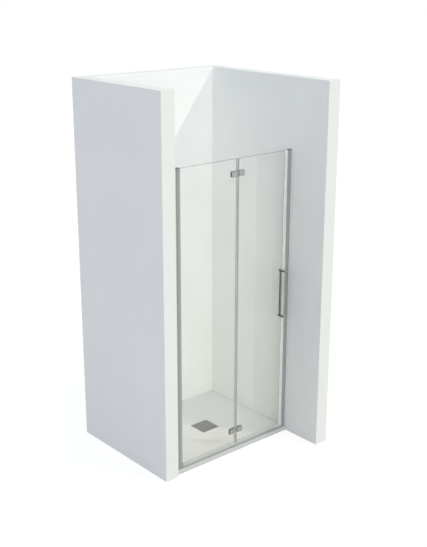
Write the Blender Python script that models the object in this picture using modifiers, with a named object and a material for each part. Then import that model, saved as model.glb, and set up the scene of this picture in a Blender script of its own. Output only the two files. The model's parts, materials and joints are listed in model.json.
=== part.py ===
"""Alcove shower enclosure: three walls, a flat tray with a square drain and a trackless bi-fold door.

Frame: metres, +Z up, origin on the floor under the middle of the outer box.
The door closes the front (-Y) side. Its pivot is at the left wall (-X), its handle near the right wall (+X).
"""
import math

import bmesh
import bpy
from mathutils import Vector

# Walls
INNER_WIDTH = 1.000
WALL_THICKNESS = 0.100
WALL_HEIGHT = 2.500
LEFT_WALL_OVERHANG = 0.020
RIGHT_WALL_OVERHANG = 0.300
WALL_ARRIS = 0.0015

# Shower tray
TRAY_DEPTH = 0.800
TRAY_HEIGHT = 0.032
TRAY_EDGE_ROUND = 0.002
TRAY_SIDE_RIM = 0.030
TRAY_FRONT_RIM = 0.070
TRAY_FALL = 0.008
DRAIN_OFFSET_X = 0.068
DRAIN_OFFSET_Y = -0.011

# Drain
COVER_SIZE = 0.142
COVER_THICKNESS = 0.003
COVER_EDGE_ROUND = 0.0008
COVER_GAP = 0.002
COVER_SUNK = 0.0005
COVER_FOOT_RADIUS = 0.005
COVER_FOOT_INSET = 0.012
POCKET_DEPTH = 0.012
WASTE_BORE_RADIUS = 0.045
WASTE_FLANGE_RADIUS = 0.056
WASTE_FLANGE_THICKNESS = 0.0022
WASTE_TUBE_WALL = 0.003
WASTE_LEDGE_WIDTH = 0.005
WASTE_LEDGE_THICKNESS = 0.003
WASTE_LEDGE_DEPTH = 0.003
WASTE_GASKET_THICKNESS = 0.0012
WASTE_GASKET_INSET = 0.002
WASTE_FLOOR_GAP = 0.001
STRAINER_THICKNESS = 0.0015
STRAINER_RIM = 0.007
STRAINER_SLOT_COUNT = 12
STRAINER_SLOT_WIDTH = 0.004
STRAINER_SLOT_LENGTH = 0.022

# Door
DOOR_HEIGHT = 2.000
DOOR_SETBACK = 0.021
GLASS_THICKNESS = 0.006
GLASS_ARRIS = 0.0005
GLASS_HOLE_RADIUS = 0.007
LEFT_LEAF_SPAN = 0.4875
FOLD_AXIS_OFFSET = 0.008
FOLD_GLASS_GAP = 0.006
CAP_THICKNESS = 0.004
CAP_CORNER = 0.0015

# Wall channels and jambs
PROFILE_DEPTH = 0.020
JAMB_WIDTH = 0.028
JAMB_FLANGE = 0.0016
JAMB_WEB = 0.0048
HINGE_STANDOFF = 0.005
STRIKE_STANDOFF = 0.002
CHANNEL_WIDTH = 0.020
CHANNEL_WALL = 0.0015
SLOT_NECK_WIDTH = 0.0026
SLOT_NECK_DEPTH = 0.0012
SLOT_CHAMBER_WIDTH = 0.0050
SLOT_CHAMBER_DEPTH = 0.0020
CAP_PLUG_DEPTH = 0.012

# Leaf hinge profile and pivots
NOSE_RADIUS = 0.010
NOSE_GAP = 0.0015
NOSE_ARC_STEPS = 20
PROFILE_REACH = 0.015
PROFILE_BORE_RADIUS = 0.0046
GLAZING_SLOT_START = 0.0064
GLAZING_SLOT_WIDTH = 0.0090
GASKET_BASE = 0.0010
GASKET_PROUD = 0.0005
PIVOT_PIN_RADIUS = 0.003
PIVOT_PIN_REACH = 0.020
PIVOT_PIN_SEAT = 0.014
PIVOT_BUSH_RADIUS = 0.0043
PIVOT_BLOCK_HEIGHT = 0.0195
PIVOT_BLOCK_REACH = 0.0215
PIVOT_BLOCK_DEPTH = 0.022
PIVOT_BLOCK_CORNER = 0.007
CLAMP_SCREW_RADIUS = 0.0033
CLAMP_SCREW_OFFSET = 0.0108
CLAMP_SCREW_DROP = 0.012
CLAMP_SCREW_SUNK = 0.0010
CLAMP_SOCKET_RADIUS = 0.0018
CLAMP_SOCKET_DEPTH = 0.0020

# Glass-to-glass hinges
HINGE_END_DISTANCE = 0.0957
HINGE_HEIGHT = 0.040
PLATE_WIDTH = 0.049
PLATE_THICKNESS = 0.005
PLATE_CORNER = 0.008
PLATE_ARRIS = 0.0008
PLATE_START = 0.007
KNUCKLE_RADIUS = 0.006
KNUCKLE_WEB = 0.003
MIDDLE_KNUCKLE_HEIGHT = 0.016
HINGE_PIN_RADIUS = 0.0025
HINGE_PIN_HEAD_RADIUS = 0.0048
HINGE_PIN_HEAD = 0.0015
HINGE_SCREW_RADIUS = 0.0025
HINGE_SCREW_HEAD_RADIUS = 0.0050
HINGE_SCREW_SUNK = 0.0002
HINGE_SCREW_BITE = 0.0032

# Seals
SEAL_WALL = 0.0009
SEAL_WEB = 0.0012
BULB_WIDTH = 0.0070
MAGNET_WIDTH = 0.0120
MAGNET_REACH = 0.0080
MAGNET_CORNER = 0.0015
MAGNET_GAP = 0.0010
LEAF_SEAL_NOSE = 0.0110
LEAF_SEAL_LAP = 0.0060
FOLD_SEAL_LAP = 0.0050
BOTTOM_SEAL_LAP = 0.0080
BOTTOM_SEAL_START_GAP = 0.0050
WIPER_THICKNESS = 0.0010
WIPER_CLEARANCE = 0.0010
DRIP_LIP_REACH = 0.0060
DRIP_LIP_DROP = 0.0050
SEAL_ARC_STEPS = 8

# Threshold strip
THRESHOLD_HEIGHT = 0.0060
THRESHOLD_DEPTH = 0.0120
THRESHOLD_HEEL = 0.0015
THRESHOLD_ARC_STEPS = 8

# Loop handle
HANDLE_HEIGHT = 0.336
HANDLE_PROJECTION = 0.058
HANDLE_BAR = 0.012
HANDLE_CORNER = 0.004
HANDLE_EDGE_ROUND = 0.0010
HANDLE_EDGE_DISTANCE = 0.023
HANDLE_CENTRE_HEIGHT = 1.020
HANDLE_SCREW_RADIUS = 0.003
HANDLE_SCREW_BITE = 0.008
HANDLE_SCREW_HEAD_RADIUS = 0.010
HANDLE_SCREW_HEAD = 0.003

# Fixing screws
WALL_SCREW_RADIUS = 0.0025
WALL_SCREW_LENGTH = 0.040
WALL_SCREW_HEAD_RADIUS = 0.0045
WALL_SCREW_HEAD = 0.0024
JAMB_SCREW_RADIUS = 0.0020
JAMB_SCREW_HEAD_RADIUS = 0.0040
JAMB_SCREW_HEAD = 0.0022
JAMB_SCREW_LENGTH = 0.0055
JAMB_SCREW_SEAT = 0.0120
WALL_SCREW_HEIGHT_SHARES = (0.15, 0.85)
JAMB_SCREW_HEIGHT_SHARES = (0.25, 0.75)

# Shared working values
FIT = 0.0003
OVERRUN = 0.001
WELD_DISTANCE = 0.00001
TURN_STEPS = 24
SCREW_TURN_STEPS = 12
SOCKET_SIDES = 6
ROUND_STEPS = 4
DOME_STEPS = 3
BEVEL_ANGLE = math.radians(40.0)
QUARTER_TURN = math.radians(90.0)

# Places worked out from the sizes above
LEFT_FACE = -INNER_WIDTH / 2
RIGHT_FACE = INNER_WIDTH / 2
OUTER_DEPTH = RIGHT_WALL_OVERHANG + TRAY_DEPTH + WALL_THICKNESS
BACK_FACE = OUTER_DEPTH / 2 - WALL_THICKNESS
TRAY_FRONT = BACK_FACE - TRAY_DEPTH
LEFT_WALL_FRONT = TRAY_FRONT - LEFT_WALL_OVERHANG
RIGHT_WALL_FRONT = TRAY_FRONT - RIGHT_WALL_OVERHANG
TRAY_MIDDLE = BACK_FACE - TRAY_DEPTH / 2
DOOR_Y = TRAY_FRONT + DOOR_SETBACK
DOOR_TOP = TRAY_HEIGHT + DOOR_HEIGHT
FRAME_BOTTOM = TRAY_HEIGHT + FIT
FRAME_TOP = DOOR_TOP - CAP_THICKNESS - FIT
LEAF_TOP = FRAME_TOP
LEAF_BOTTOM = FRAME_BOTTOM + PIVOT_BLOCK_HEIGHT + FIT
HINGE_FACE_X = LEFT_FACE + HINGE_STANDOFF + JAMB_WIDTH
STRIKE_FACE_X = RIGHT_FACE - STRIKE_STANDOFF - JAMB_WIDTH
PIVOT_X = HINGE_FACE_X + NOSE_GAP + NOSE_RADIUS
FOLD_X = PIVOT_X + LEFT_LEAF_SPAN
FOLD_Y = DOOR_Y + GLASS_THICKNESS / 2 + FOLD_AXIS_OFFSET
MAGNET_FACE_X = STRIKE_FACE_X - MAGNET_REACH
LEAF_EDGE_X = MAGNET_FACE_X - MAGNET_GAP
RIGHT_GLASS_EDGE_X = LEAF_EDGE_X - LEAF_SEAL_NOSE
LEFT_GLASS_EDGE_X = PIVOT_X + GLAZING_SLOT_START + GASKET_BASE + 2 * FIT
GLASS_FACE = GLASS_THICKNESS / 2
PLATE_INNER = GLASS_FACE + FIT
PLATE_OUTER = PLATE_INNER + PLATE_THICKNESS
THRESHOLD_TOP = FRAME_BOTTOM + THRESHOLD_HEIGHT
WIPER_TIP = THRESHOLD_TOP + WIPER_CLEARANCE
HANDLE_X = RIGHT_GLASS_EDGE_X - HANDLE_EDGE_DISTANCE
HANDLE_Z = TRAY_HEIGHT + HANDLE_CENTRE_HEIGHT
HANDLE_ARM_OFFSET = (HANDLE_HEIGHT - HANDLE_BAR) / 2
DRAIN_X = DRAIN_OFFSET_X
DRAIN_Y = TRAY_MIDDLE + DRAIN_OFFSET_Y
DRAIN_LEVEL = TRAY_HEIGHT - TRAY_FALL
POCKET_SIZE = COVER_SIZE + 2 * COVER_GAP
POCKET_FLOOR = DRAIN_LEVEL - POCKET_DEPTH
COVER_TOP = DRAIN_LEVEL - COVER_SUNK
HINGE_HEIGHTS = {"upper": LEAF_TOP - HINGE_END_DISTANCE, "lower": LEAF_BOTTOM + HINGE_END_DISTANCE}

# Colour, roughness and metallic value of each finish
FINISHES = {
    "plaster": ((0.86, 0.87, 0.88), 0.85, 0.0),
    "tray_resin": ((0.80, 0.81, 0.80), 0.55, 0.0),
    "aluminium": ((0.42, 0.43, 0.42), 0.35, 1.0),
    "steel": ((0.36, 0.37, 0.37), 0.28, 1.0),
    "dark_steel": ((0.05, 0.05, 0.05), 0.40, 1.0),
    "cover_steel": ((0.26, 0.26, 0.25), 0.45, 1.0),
    "glass": ((0.86, 0.90, 0.89), 0.05, 0.0),
    "clear_seal": ((0.66, 0.68, 0.67), 0.40, 0.0),
    "grey_seal": ((0.34, 0.35, 0.35), 0.60, 0.0),
    "plastic": ((0.20, 0.20, 0.20), 0.50, 0.0),
}


def clear_scene():
    """Remove every object that is in the open file."""
    for thing in list(bpy.data.objects):
        bpy.data.objects.remove(thing, do_unlink=True)


def new_collection(name):
    """Add an empty collection under the scene."""
    collection = bpy.data.collections.new(name)
    bpy.context.scene.collection.children.link(collection)
    return collection


def add_finish(thing, finish):
    """Give a piece a material of its own in one of the named finishes."""
    colour, roughness, metallic = FINISHES[finish]
    material = bpy.data.materials.new(thing.name + "_" + finish)
    material.use_nodes = True
    shader = material.node_tree.nodes["Principled BSDF"]
    shader.inputs["Base Color"].default_value = (*colour, 1.0)
    shader.inputs["Roughness"].default_value = roughness
    shader.inputs["Metallic"].default_value = metallic
    if finish == "glass":
        shader.inputs["Transmission Weight"].default_value = 1.0
    thing.data.materials.append(material)


def place(thing, location, finish=None, turn=(0.0, 0.0, 0.0)):
    """Link a piece to the model, or a shape without a finish to the cutters."""
    thing.location = location
    thing.rotation_euler = turn
    if finish is None:
        CUTTERS.objects.link(thing)
        thing.hide_render = True
        thing.display_type = "WIRE"
    else:
        MODEL.objects.link(thing)
        add_finish(thing, finish)
    return thing


def box(name, low, high, finish=None):
    """A box between two corners, made from the cube primitive."""
    size = Vector(high) - Vector(low)
    shape = bmesh.new()
    bmesh.ops.create_cube(shape, size=1.0)
    bmesh.ops.scale(shape, vec=size, verts=shape.verts)
    mesh = bpy.data.meshes.new(name)
    shape.to_mesh(mesh)
    shape.free()
    return place(bpy.data.objects.new(name, mesh), (Vector(low) + Vector(high)) / 2, finish)


def rod(name, radius, length, location, turn=(0.0, 0.0, 0.0), finish=None, sides=TURN_STEPS):
    """A cylinder along its local Z, centred on its location."""
    shape = bmesh.new()
    bmesh.ops.create_cone(
        shape, cap_ends=True, segments=sides, radius1=radius, radius2=radius, depth=length
    )
    mesh = bpy.data.meshes.new(name)
    shape.to_mesh(mesh)
    shape.free()
    mesh.shade_smooth()
    mesh.set_sharp_from_angle(angle=BEVEL_ANGLE)
    return place(bpy.data.objects.new(name, mesh), location, finish, turn)


def turned(name, profile, location, finish=None, turn=(0.0, 0.0, 0.0), ring=False, steps=TURN_STEPS):
    """A lathe-turned piece: points of radius and height that run down its outer side."""
    count = len(profile)
    edges = [(index, index + 1) for index in range(count - 1)]
    if ring:
        edges.append((count - 1, 0))
    mesh = bpy.data.meshes.new(name)
    mesh.from_pydata([(radius, 0.0, height) for radius, height in profile], edges, [])
    thing = place(bpy.data.objects.new(name, mesh), location, finish, turn)
    screw = thing.modifiers.new("Turn", "SCREW")
    screw.steps = steps
    screw.render_steps = steps
    screw.use_merge_vertices = True
    screw.merge_threshold = WELD_DISTANCE
    return thing


def extruded(name, outlines, length, location, finish=None, turn=(0.0, 0.0, 0.0)):
    """Closed flat outlines carried along local Z; the second and later ones are holes."""
    curve = bpy.data.curves.new(name + "_outline", "CURVE")
    curve.dimensions = "2D"
    curve.fill_mode = "BOTH"
    curve.extrude = length / 2
    for outline in outlines:
        spline = curve.splines.new("POLY")
        spline.points.add(len(outline) - 1)
        for point, (across, along) in zip(spline.points, outline):
            point.co = (across, along, 0.0, 1.0)
        spline.use_cyclic_u = True
    drawn = bpy.data.objects.new(name + "_outline", curve)
    CUTTERS.objects.link(drawn)
    bpy.context.view_layer.update()
    evaluated = drawn.evaluated_get(bpy.context.evaluated_depsgraph_get())
    mesh = bpy.data.meshes.new_from_object(evaluated)
    mesh.name = name
    shape = bmesh.new()
    shape.from_mesh(mesh)
    bmesh.ops.remove_doubles(shape, verts=shape.verts, dist=WELD_DISTANCE)
    bmesh.ops.recalc_face_normals(shape, faces=shape.faces)
    shape.to_mesh(mesh)
    shape.free()
    bpy.data.objects.remove(drawn, do_unlink=True)
    bpy.data.curves.remove(curve)
    mesh.materials.clear()
    return place(bpy.data.objects.new(name, mesh), location, finish, turn)


def round_edges(thing, radius, segments=2):
    """Round every sharp edge of a piece."""
    bevel = thing.modifiers.new("Rounded edges", "BEVEL")
    bevel.width = radius
    bevel.segments = segments
    bevel.limit_method = "ANGLE"
    bevel.angle_limit = BEVEL_ANGLE


def combine(thing, tool, operation):
    """Cut a tool shape out of a piece, or join it on."""
    boolean = thing.modifiers.new(operation.capitalize() + " " + tool.name, "BOOLEAN")
    boolean.operation = operation
    boolean.solver = "EXACT"
    boolean.object = tool


def cut(thing, *tools):
    """Take each tool shape away from a piece."""
    for tool in tools:
        combine(thing, tool, "DIFFERENCE")


def join(thing, *tools):
    """Add each tool shape to a piece."""
    for tool in tools:
        combine(thing, tool, "UNION")


def new_axis(name, location, parent=None):
    """An empty that stands on a joint's axis and carries the moving pieces."""
    axis = bpy.data.objects.new(name, None)
    MODEL.objects.link(axis)
    axis.location = location
    if parent is not None:
        axis.parent = parent
        axis.location = Vector(location) - parent.matrix_world.translation
    bpy.context.view_layer.update()
    return axis


def carry(axis, *things):
    """Parent pieces to the empty on their joint's axis, leaving them where they stand."""
    for thing in things:
        thing.parent = axis
        thing.location = thing.location - axis.matrix_world.translation


def mirrored(half_outline):
    """Complete an outline that is the same on both sides of its first coordinate's axis."""
    return half_outline + [(along, -across) for along, across in reversed(half_outline)]


def flipped(outline, side):
    """Turn an outline to face the other way along its first coordinate when side is -1."""
    return [(side * along, across) for along, across in outline]


def rounded_rectangle(width, height, radius):
    """Outline of a rectangle about the origin with round corners."""
    points = []
    for corner in range(4):
        start = corner * QUARTER_TURN
        centre_x = (width / 2 - radius) * (1 if corner in (0, 3) else -1)
        centre_y = (height / 2 - radius) * (1 if corner in (0, 1) else -1)
        for step in range(ROUND_STEPS + 1):
            angle = start + QUARTER_TURN * step / ROUND_STEPS
            points.append((centre_x + radius * math.cos(angle), centre_y + radius * math.sin(angle)))
    return points


def arc(centre, radii, start, end, steps):
    """Points on part of an ellipse, both ends included."""
    points = []
    for step in range(steps + 1):
        angle = start + (end - start) * step / steps
        points.append((centre[0] + radii[0] * math.cos(angle), centre[1] + radii[1] * math.sin(angle)))
    return points


# Walls

def wall_screw_holes(side, face):
    """Holes that the wall channel's screws go into."""
    depth = WALL_SCREW_LENGTH + OVERRUN
    holes = []
    for share in WALL_SCREW_HEIGHT_SHARES:
        height = FRAME_BOTTOM + share * DOOR_HEIGHT
        holes.append(
            rod(
                "wall_screw_hole",
                WALL_SCREW_RADIUS + FIT,
                2 * depth,
                (face, DOOR_Y, height),
                (0.0, QUARTER_TURN * side, 0.0),
            )
        )
    return holes


def build_walls():
    """Two side walls and the back wall that stands between them."""
    outer_back = BACK_FACE + WALL_THICKNESS
    left = box(
        "left_wall",
        (LEFT_FACE - WALL_THICKNESS, LEFT_WALL_FRONT, 0.0),
        (LEFT_FACE, outer_back, WALL_HEIGHT),
        "plaster",
    )
    right = box(
        "right_wall",
        (RIGHT_FACE, RIGHT_WALL_FRONT, 0.0),
        (RIGHT_FACE + WALL_THICKNESS, outer_back, WALL_HEIGHT),
        "plaster",
    )
    back = box(
        "back_wall",
        (LEFT_FACE + FIT, BACK_FACE, 0.0),
        (RIGHT_FACE - FIT, outer_back, WALL_HEIGHT),
        "plaster",
    )
    for wall in (left, right, back):
        round_edges(wall, WALL_ARRIS)
    cut(left, *wall_screw_holes(1, LEFT_FACE))
    cut(right, *wall_screw_holes(-1, RIGHT_FACE))


# Tray and drain

def falls_cutter():
    """The space above the tray's falls: a block whose lower face is drawn in to the drain pocket."""
    rise = 1 + OVERRUN / TRAY_FALL
    pocket = (
        (DRAIN_X - POCKET_SIZE / 2, DRAIN_X + POCKET_SIZE / 2),
        (DRAIN_Y - POCKET_SIZE / 2, DRAIN_Y + POCKET_SIZE / 2),
    )
    rim = (
        (LEFT_FACE + TRAY_SIDE_RIM, RIGHT_FACE - TRAY_SIDE_RIM),
        (TRAY_FRONT + TRAY_FRONT_RIM, BACK_FACE - TRAY_SIDE_RIM),
    )
    shape = bmesh.new()
    bmesh.ops.create_cube(shape, size=1.0)
    for vertex in shape.verts:
        corner = vertex.co.copy()
        for axis in (0, 1):
            end = 1 if corner[axis] > 0 else 0
            low = pocket[axis][end]
            high = low + (rim[axis][end] - low) * rise
            vertex.co[axis] = high if corner[2] > 0 else low
        vertex.co[2] = TRAY_HEIGHT + OVERRUN if corner[2] > 0 else DRAIN_LEVEL
    mesh = bpy.data.meshes.new("falls_space")
    shape.to_mesh(mesh)
    shape.free()
    return place(bpy.data.objects.new("falls_space", mesh), (0.0, 0.0, 0.0))


def build_tray():
    """Flat resin tray with falls to a square pocket and a round waste hole."""
    tray = box(
        "shower_tray",
        (LEFT_FACE + FIT, TRAY_FRONT, 0.0),
        (RIGHT_FACE - FIT, BACK_FACE - FIT, TRAY_HEIGHT),
        "tray_resin",
    )
    round_edges(tray, TRAY_EDGE_ROUND)
    half = POCKET_SIZE / 2
    pocket = box(
        "pocket_space",
        (DRAIN_X - half, DRAIN_Y - half, POCKET_FLOOR),
        (DRAIN_X + half, DRAIN_Y + half, TRAY_HEIGHT + OVERRUN),
    )
    bore = rod("waste_bore", WASTE_BORE_RADIUS, TRAY_HEIGHT, (DRAIN_X, DRAIN_Y, 0.0))
    cut(tray, falls_cutter(), pocket, bore)


def build_waste():
    """Waste flange with its gasket and the hair strainer that drops into it."""
    at_drain = (DRAIN_X, DRAIN_Y, 0.0)
    gasket_low = POCKET_FLOOR + FIT
    gasket_high = gasket_low + WASTE_GASKET_THICKNESS
    plate_low = gasket_high + FIT
    plate_high = plate_low + WASTE_FLANGE_THICKNESS
    tube_outer = WASTE_BORE_RADIUS - FIT
    tube_inner = tube_outer - WASTE_TUBE_WALL
    ledge_inner = tube_inner - WASTE_LEDGE_WIDTH
    ledge_top = plate_high - WASTE_LEDGE_DEPTH
    ledge_low = ledge_top - WASTE_LEDGE_THICKNESS
    gasket_outer = WASTE_FLANGE_RADIUS - WASTE_GASKET_INSET
    gasket_inner = WASTE_BORE_RADIUS
    turned(
        "waste_gasket",
        [
            (gasket_inner, gasket_high),
            (gasket_outer, gasket_high),
            (gasket_outer, gasket_low),
            (gasket_inner, gasket_low),
        ],
        at_drain,
        "grey_seal",
        ring=True,
    )
    turned(
        "waste_flange",
        [
            (tube_inner, plate_high),
            (WASTE_FLANGE_RADIUS, plate_high),
            (WASTE_FLANGE_RADIUS, plate_low),
            (tube_outer, plate_low),
            (tube_outer, WASTE_FLOOR_GAP),
            (tube_inner, WASTE_FLOOR_GAP),
            (tube_inner, ledge_low),
            (ledge_inner, ledge_low),
            (ledge_inner, ledge_top),
            (tube_inner, ledge_top),
        ],
        at_drain,
        "steel",
        ring=True,
    )
    build_strainer(at_drain, tube_inner - FIT, ledge_top + FIT)


def build_strainer(at_drain, radius, seat):
    """Flat disc with a ring of radial slots, which lies on the flange's ledge."""
    middle = seat + STRAINER_THICKNESS / 2
    strainer = rod(
        "hair_strainer",
        radius,
        STRAINER_THICKNESS,
        (at_drain[0], at_drain[1], middle),
        finish="steel",
    )
    reach = radius - STRAINER_RIM - STRAINER_SLOT_LENGTH / 2
    half = Vector((STRAINER_SLOT_LENGTH / 2, STRAINER_SLOT_WIDTH / 2, STRAINER_THICKNESS))
    for index in range(STRAINER_SLOT_COUNT):
        angle = 2 * math.pi * index / STRAINER_SLOT_COUNT
        slot = box("strainer_slot", -half, half)
        slot.location = (
            at_drain[0] + reach * math.cos(angle),
            at_drain[1] + reach * math.sin(angle),
            middle,
        )
        slot.rotation_euler = (0.0, 0.0, angle)
        cut(strainer, slot)


def build_drain_cover():
    """Square steel cover on four feet, which lifts straight out of its pocket."""
    half = COVER_SIZE / 2
    plate_low = COVER_TOP - COVER_THICKNESS
    cover = box(
        "drain_cover",
        (DRAIN_X - half, DRAIN_Y - half, plate_low),
        (DRAIN_X + half, DRAIN_Y + half, COVER_TOP),
        "cover_steel",
    )
    round_edges(cover, COVER_EDGE_ROUND)
    foot_top = COVER_TOP - COVER_THICKNESS / 2
    foot_bottom = POCKET_FLOOR + FIT
    reach = half - COVER_FOOT_INSET
    for side_x in (-1, 1):
        for side_y in (-1, 1):
            foot = rod(
                "cover_foot",
                COVER_FOOT_RADIUS,
                foot_top - foot_bottom,
                (DRAIN_X + side_x * reach, DRAIN_Y + side_y * reach, (foot_top + foot_bottom) / 2),
            )
            join(cover, foot)
    guide = new_axis("drain_cover_guide", (DRAIN_X, DRAIN_Y, COVER_TOP))
    carry(guide, cover)


# Frame at the walls

def frame_side(side):
    """The wall face and the jamb's standoff from it; side is 1 at the hinge and -1 at the strike."""
    if side == 1:
        return LEFT_FACE, HINGE_STANDOFF
    return RIGHT_FACE, STRIKE_STANDOFF


def build_wall_channel(name, side):
    """U-shaped channel that is screwed to the wall."""
    wall, _ = frame_side(side)
    half = PROFILE_DEPTH / 2 - JAMB_FLANGE - FIT
    inner = half - CHANNEL_WALL
    web = FIT + CHANNEL_WALL
    half_outline = [(web, inner), (CHANNEL_WIDTH, inner), (CHANNEL_WIDTH, half), (FIT, half)]
    channel = extruded(
        name,
        [flipped(mirrored(half_outline), side)],
        FRAME_TOP - FRAME_BOTTOM,
        (wall, DOOR_Y, (FRAME_TOP + FRAME_BOTTOM) / 2),
        "aluminium",
    )
    cut(channel, *wall_screw_holes(side, wall), *jamb_screw_holes(side))


def build_jamb(name, side):
    """Jamb that slides over the wall channel, with a T-slot for its seal."""
    wall, standoff = frame_side(side)
    half = PROFILE_DEPTH / 2
    inner = half - JAMB_FLANGE
    face = standoff + JAMB_WIDTH
    neck = face - SLOT_NECK_DEPTH
    chamber = neck - SLOT_CHAMBER_DEPTH
    half_outline = [
        (face - JAMB_WEB, inner),
        (standoff, inner),
        (standoff, half),
        (face, half),
        (face, SLOT_NECK_WIDTH / 2),
        (neck, SLOT_NECK_WIDTH / 2),
        (neck, SLOT_CHAMBER_WIDTH / 2),
        (chamber, SLOT_CHAMBER_WIDTH / 2),
    ]
    jamb = extruded(
        name,
        [flipped(mirrored(half_outline), side)],
        FRAME_TOP - FRAME_BOTTOM,
        (wall, DOOR_Y, (FRAME_TOP + FRAME_BOTTOM) / 2),
        "aluminium",
    )
    cut(jamb, *jamb_screw_holes(side))


def jamb_screw_places(side):
    """Where the screws that hold a jamb on its wall channel enter from the shower side."""
    wall, _ = frame_side(side)
    places = []
    for share in JAMB_SCREW_HEIGHT_SHARES:
        height = FRAME_BOTTOM + share * DOOR_HEIGHT
        places.append((wall + side * JAMB_SCREW_SEAT, DOOR_Y + PROFILE_DEPTH / 2, height))
    return places


def jamb_screw_holes(side):
    """Holes through the jamb's and the channel's shower-side flanges."""
    holes = []
    for location in jamb_screw_places(side):
        holes.append(
            rod(
                "jamb_screw_hole",
                JAMB_SCREW_RADIUS + FIT,
                2 * JAMB_SCREW_LENGTH,
                location,
                (QUARTER_TURN, 0.0, 0.0),
            )
        )
    return holes


def pan_head_screw(name, shank_radius, shank, head_radius, head, location, turn, finish):
    """Screw with a domed head on local Z = 0 and its shank below; the point is chamfered."""
    dome = arc((0.0, 0.0), (head_radius, head), QUARTER_TURN, 0.0, DOME_STEPS)
    point = shank_radius / 2
    profile = [(0.0, head)] + dome[1:]
    profile += [(shank_radius, 0.0), (shank_radius, -shank + point), (point, -shank), (0.0, -shank)]
    return turned(name, profile, location, finish, turn, steps=SCREW_TURN_STEPS)


def build_frame_screws(label, side):
    """Wall screws inside the channel and jamb screws on the shower side."""
    wall, _ = frame_side(side)
    seat = wall + side * (CHANNEL_WALL + 2 * FIT)
    for number, share in enumerate(WALL_SCREW_HEIGHT_SHARES, start=1):
        height = FRAME_BOTTOM + share * DOOR_HEIGHT
        pan_head_screw(
            label + "_wall_screw_" + str(number),
            WALL_SCREW_RADIUS,
            WALL_SCREW_LENGTH,
            WALL_SCREW_HEAD_RADIUS,
            WALL_SCREW_HEAD,
            (seat, DOOR_Y, height),
            (0.0, QUARTER_TURN * side, 0.0),
            "steel",
        )
    for number, location in enumerate(jamb_screw_places(side), start=1):
        pan_head_screw(
            label + "_jamb_screw_" + str(number),
            JAMB_SCREW_RADIUS,
            JAMB_SCREW_LENGTH,
            JAMB_SCREW_HEAD_RADIUS,
            JAMB_SCREW_HEAD,
            (location[0], location[1] + FIT, location[2]),
            (-QUARTER_TURN, 0.0, 0.0),
            "steel",
        )


def seal_foot(face):
    """Half outline of the T-shaped foot that clips into a jamb's slot, from its root to the face."""
    neck_half = SLOT_NECK_WIDTH / 2 - FIT
    chamber_half = SLOT_CHAMBER_WIDTH / 2 - FIT
    shoulder = face - SLOT_NECK_DEPTH - FIT
    root = face - SLOT_NECK_DEPTH - SLOT_CHAMBER_DEPTH + FIT
    return [(root, chamber_half), (shoulder, chamber_half), (shoulder, neck_half), (face + FIT, neck_half)]


def build_frame_seals():
    """Bulb seal that the leaf's round nose runs on, and the magnetic strip it closes against."""
    face = HINGE_STANDOFF + JAMB_WIDTH
    bulb_top = NOSE_GAP - 2 * FIT
    half_dome = arc(
        (face + FIT, 0.0), (bulb_top, BULB_WIDTH / 2), QUARTER_TURN, 0.0, SEAL_ARC_STEPS
    )
    outline = mirrored(seal_foot(face) + half_dome[:-1])
    outline.insert(len(outline) // 2, half_dome[-1])
    extruded(
        "hinge_bulb_seal",
        [outline],
        FRAME_TOP - LEAF_BOTTOM,
        (LEFT_FACE, DOOR_Y, (FRAME_TOP + LEAF_BOTTOM) / 2),
        "grey_seal",
    )
    face = STRIKE_STANDOFF + JAMB_WIDTH
    half = MAGNET_WIDTH / 2
    front = face + MAGNET_REACH
    corner = arc(
        (front - MAGNET_CORNER, half - MAGNET_CORNER),
        (MAGNET_CORNER, MAGNET_CORNER),
        QUARTER_TURN,
        0.0,
        ROUND_STEPS,
    )
    outline = mirrored(seal_foot(face) + [(face + FIT, half)] + corner)
    extruded(
        "strike_magnet_seal",
        [flipped(outline, -1)],
        FRAME_TOP - WIPER_TIP,
        (RIGHT_FACE, DOOR_Y, (FRAME_TOP + WIPER_TIP) / 2),
        "clear_seal",
    )


def build_top_cap(name, side, reach):
    """Cap plate on top of a jamb, with a plug that drops into the profiles below it."""
    wall, standoff = frame_side(side)
    centre = wall + side * (reach + FIT) / 2
    cap = extruded(
        name,
        [rounded_rectangle(reach - FIT, PROFILE_DEPTH, CAP_CORNER)],
        CAP_THICKNESS,
        (centre, DOOR_Y, DOOR_TOP - CAP_THICKNESS / 2),
        "aluminium",
    )
    start = wall + side * (CHANNEL_WALL + 2 * FIT)
    end = wall + side * (standoff + JAMB_WIDTH - JAMB_WEB - FIT)
    half = PROFILE_DEPTH / 2 - JAMB_FLANGE - CHANNEL_WALL - 2 * FIT
    plug = box(
        "cap_plug",
        (min(start, end), DOOR_Y - half, FRAME_TOP - CAP_PLUG_DEPTH),
        (max(start, end), DOOR_Y + half, DOOR_TOP - CAP_THICKNESS / 2),
    )
    join(cap, plug)
    return cap


def build_lower_pivot_block():
    """Block on the tray beside the hinge jamb that carries the lower pivot pin."""
    start = HINGE_FACE_X + FIT
    end = PIVOT_X + PIVOT_BLOCK_REACH
    block = extruded(
        "lower_pivot_block",
        [rounded_rectangle(end - start, PIVOT_BLOCK_DEPTH, PIVOT_BLOCK_CORNER)],
        PIVOT_BLOCK_HEIGHT,
        ((start + end) / 2, DOOR_Y, FRAME_BOTTOM + PIVOT_BLOCK_HEIGHT / 2),
        "aluminium",
    )
    top = FRAME_BOTTOM + PIVOT_BLOCK_HEIGHT
    cut(block, rod("pivot_pin_hole", PIVOT_PIN_RADIUS + FIT, 2 * PIVOT_PIN_SEAT, (PIVOT_X, DOOR_Y, top)))


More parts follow.
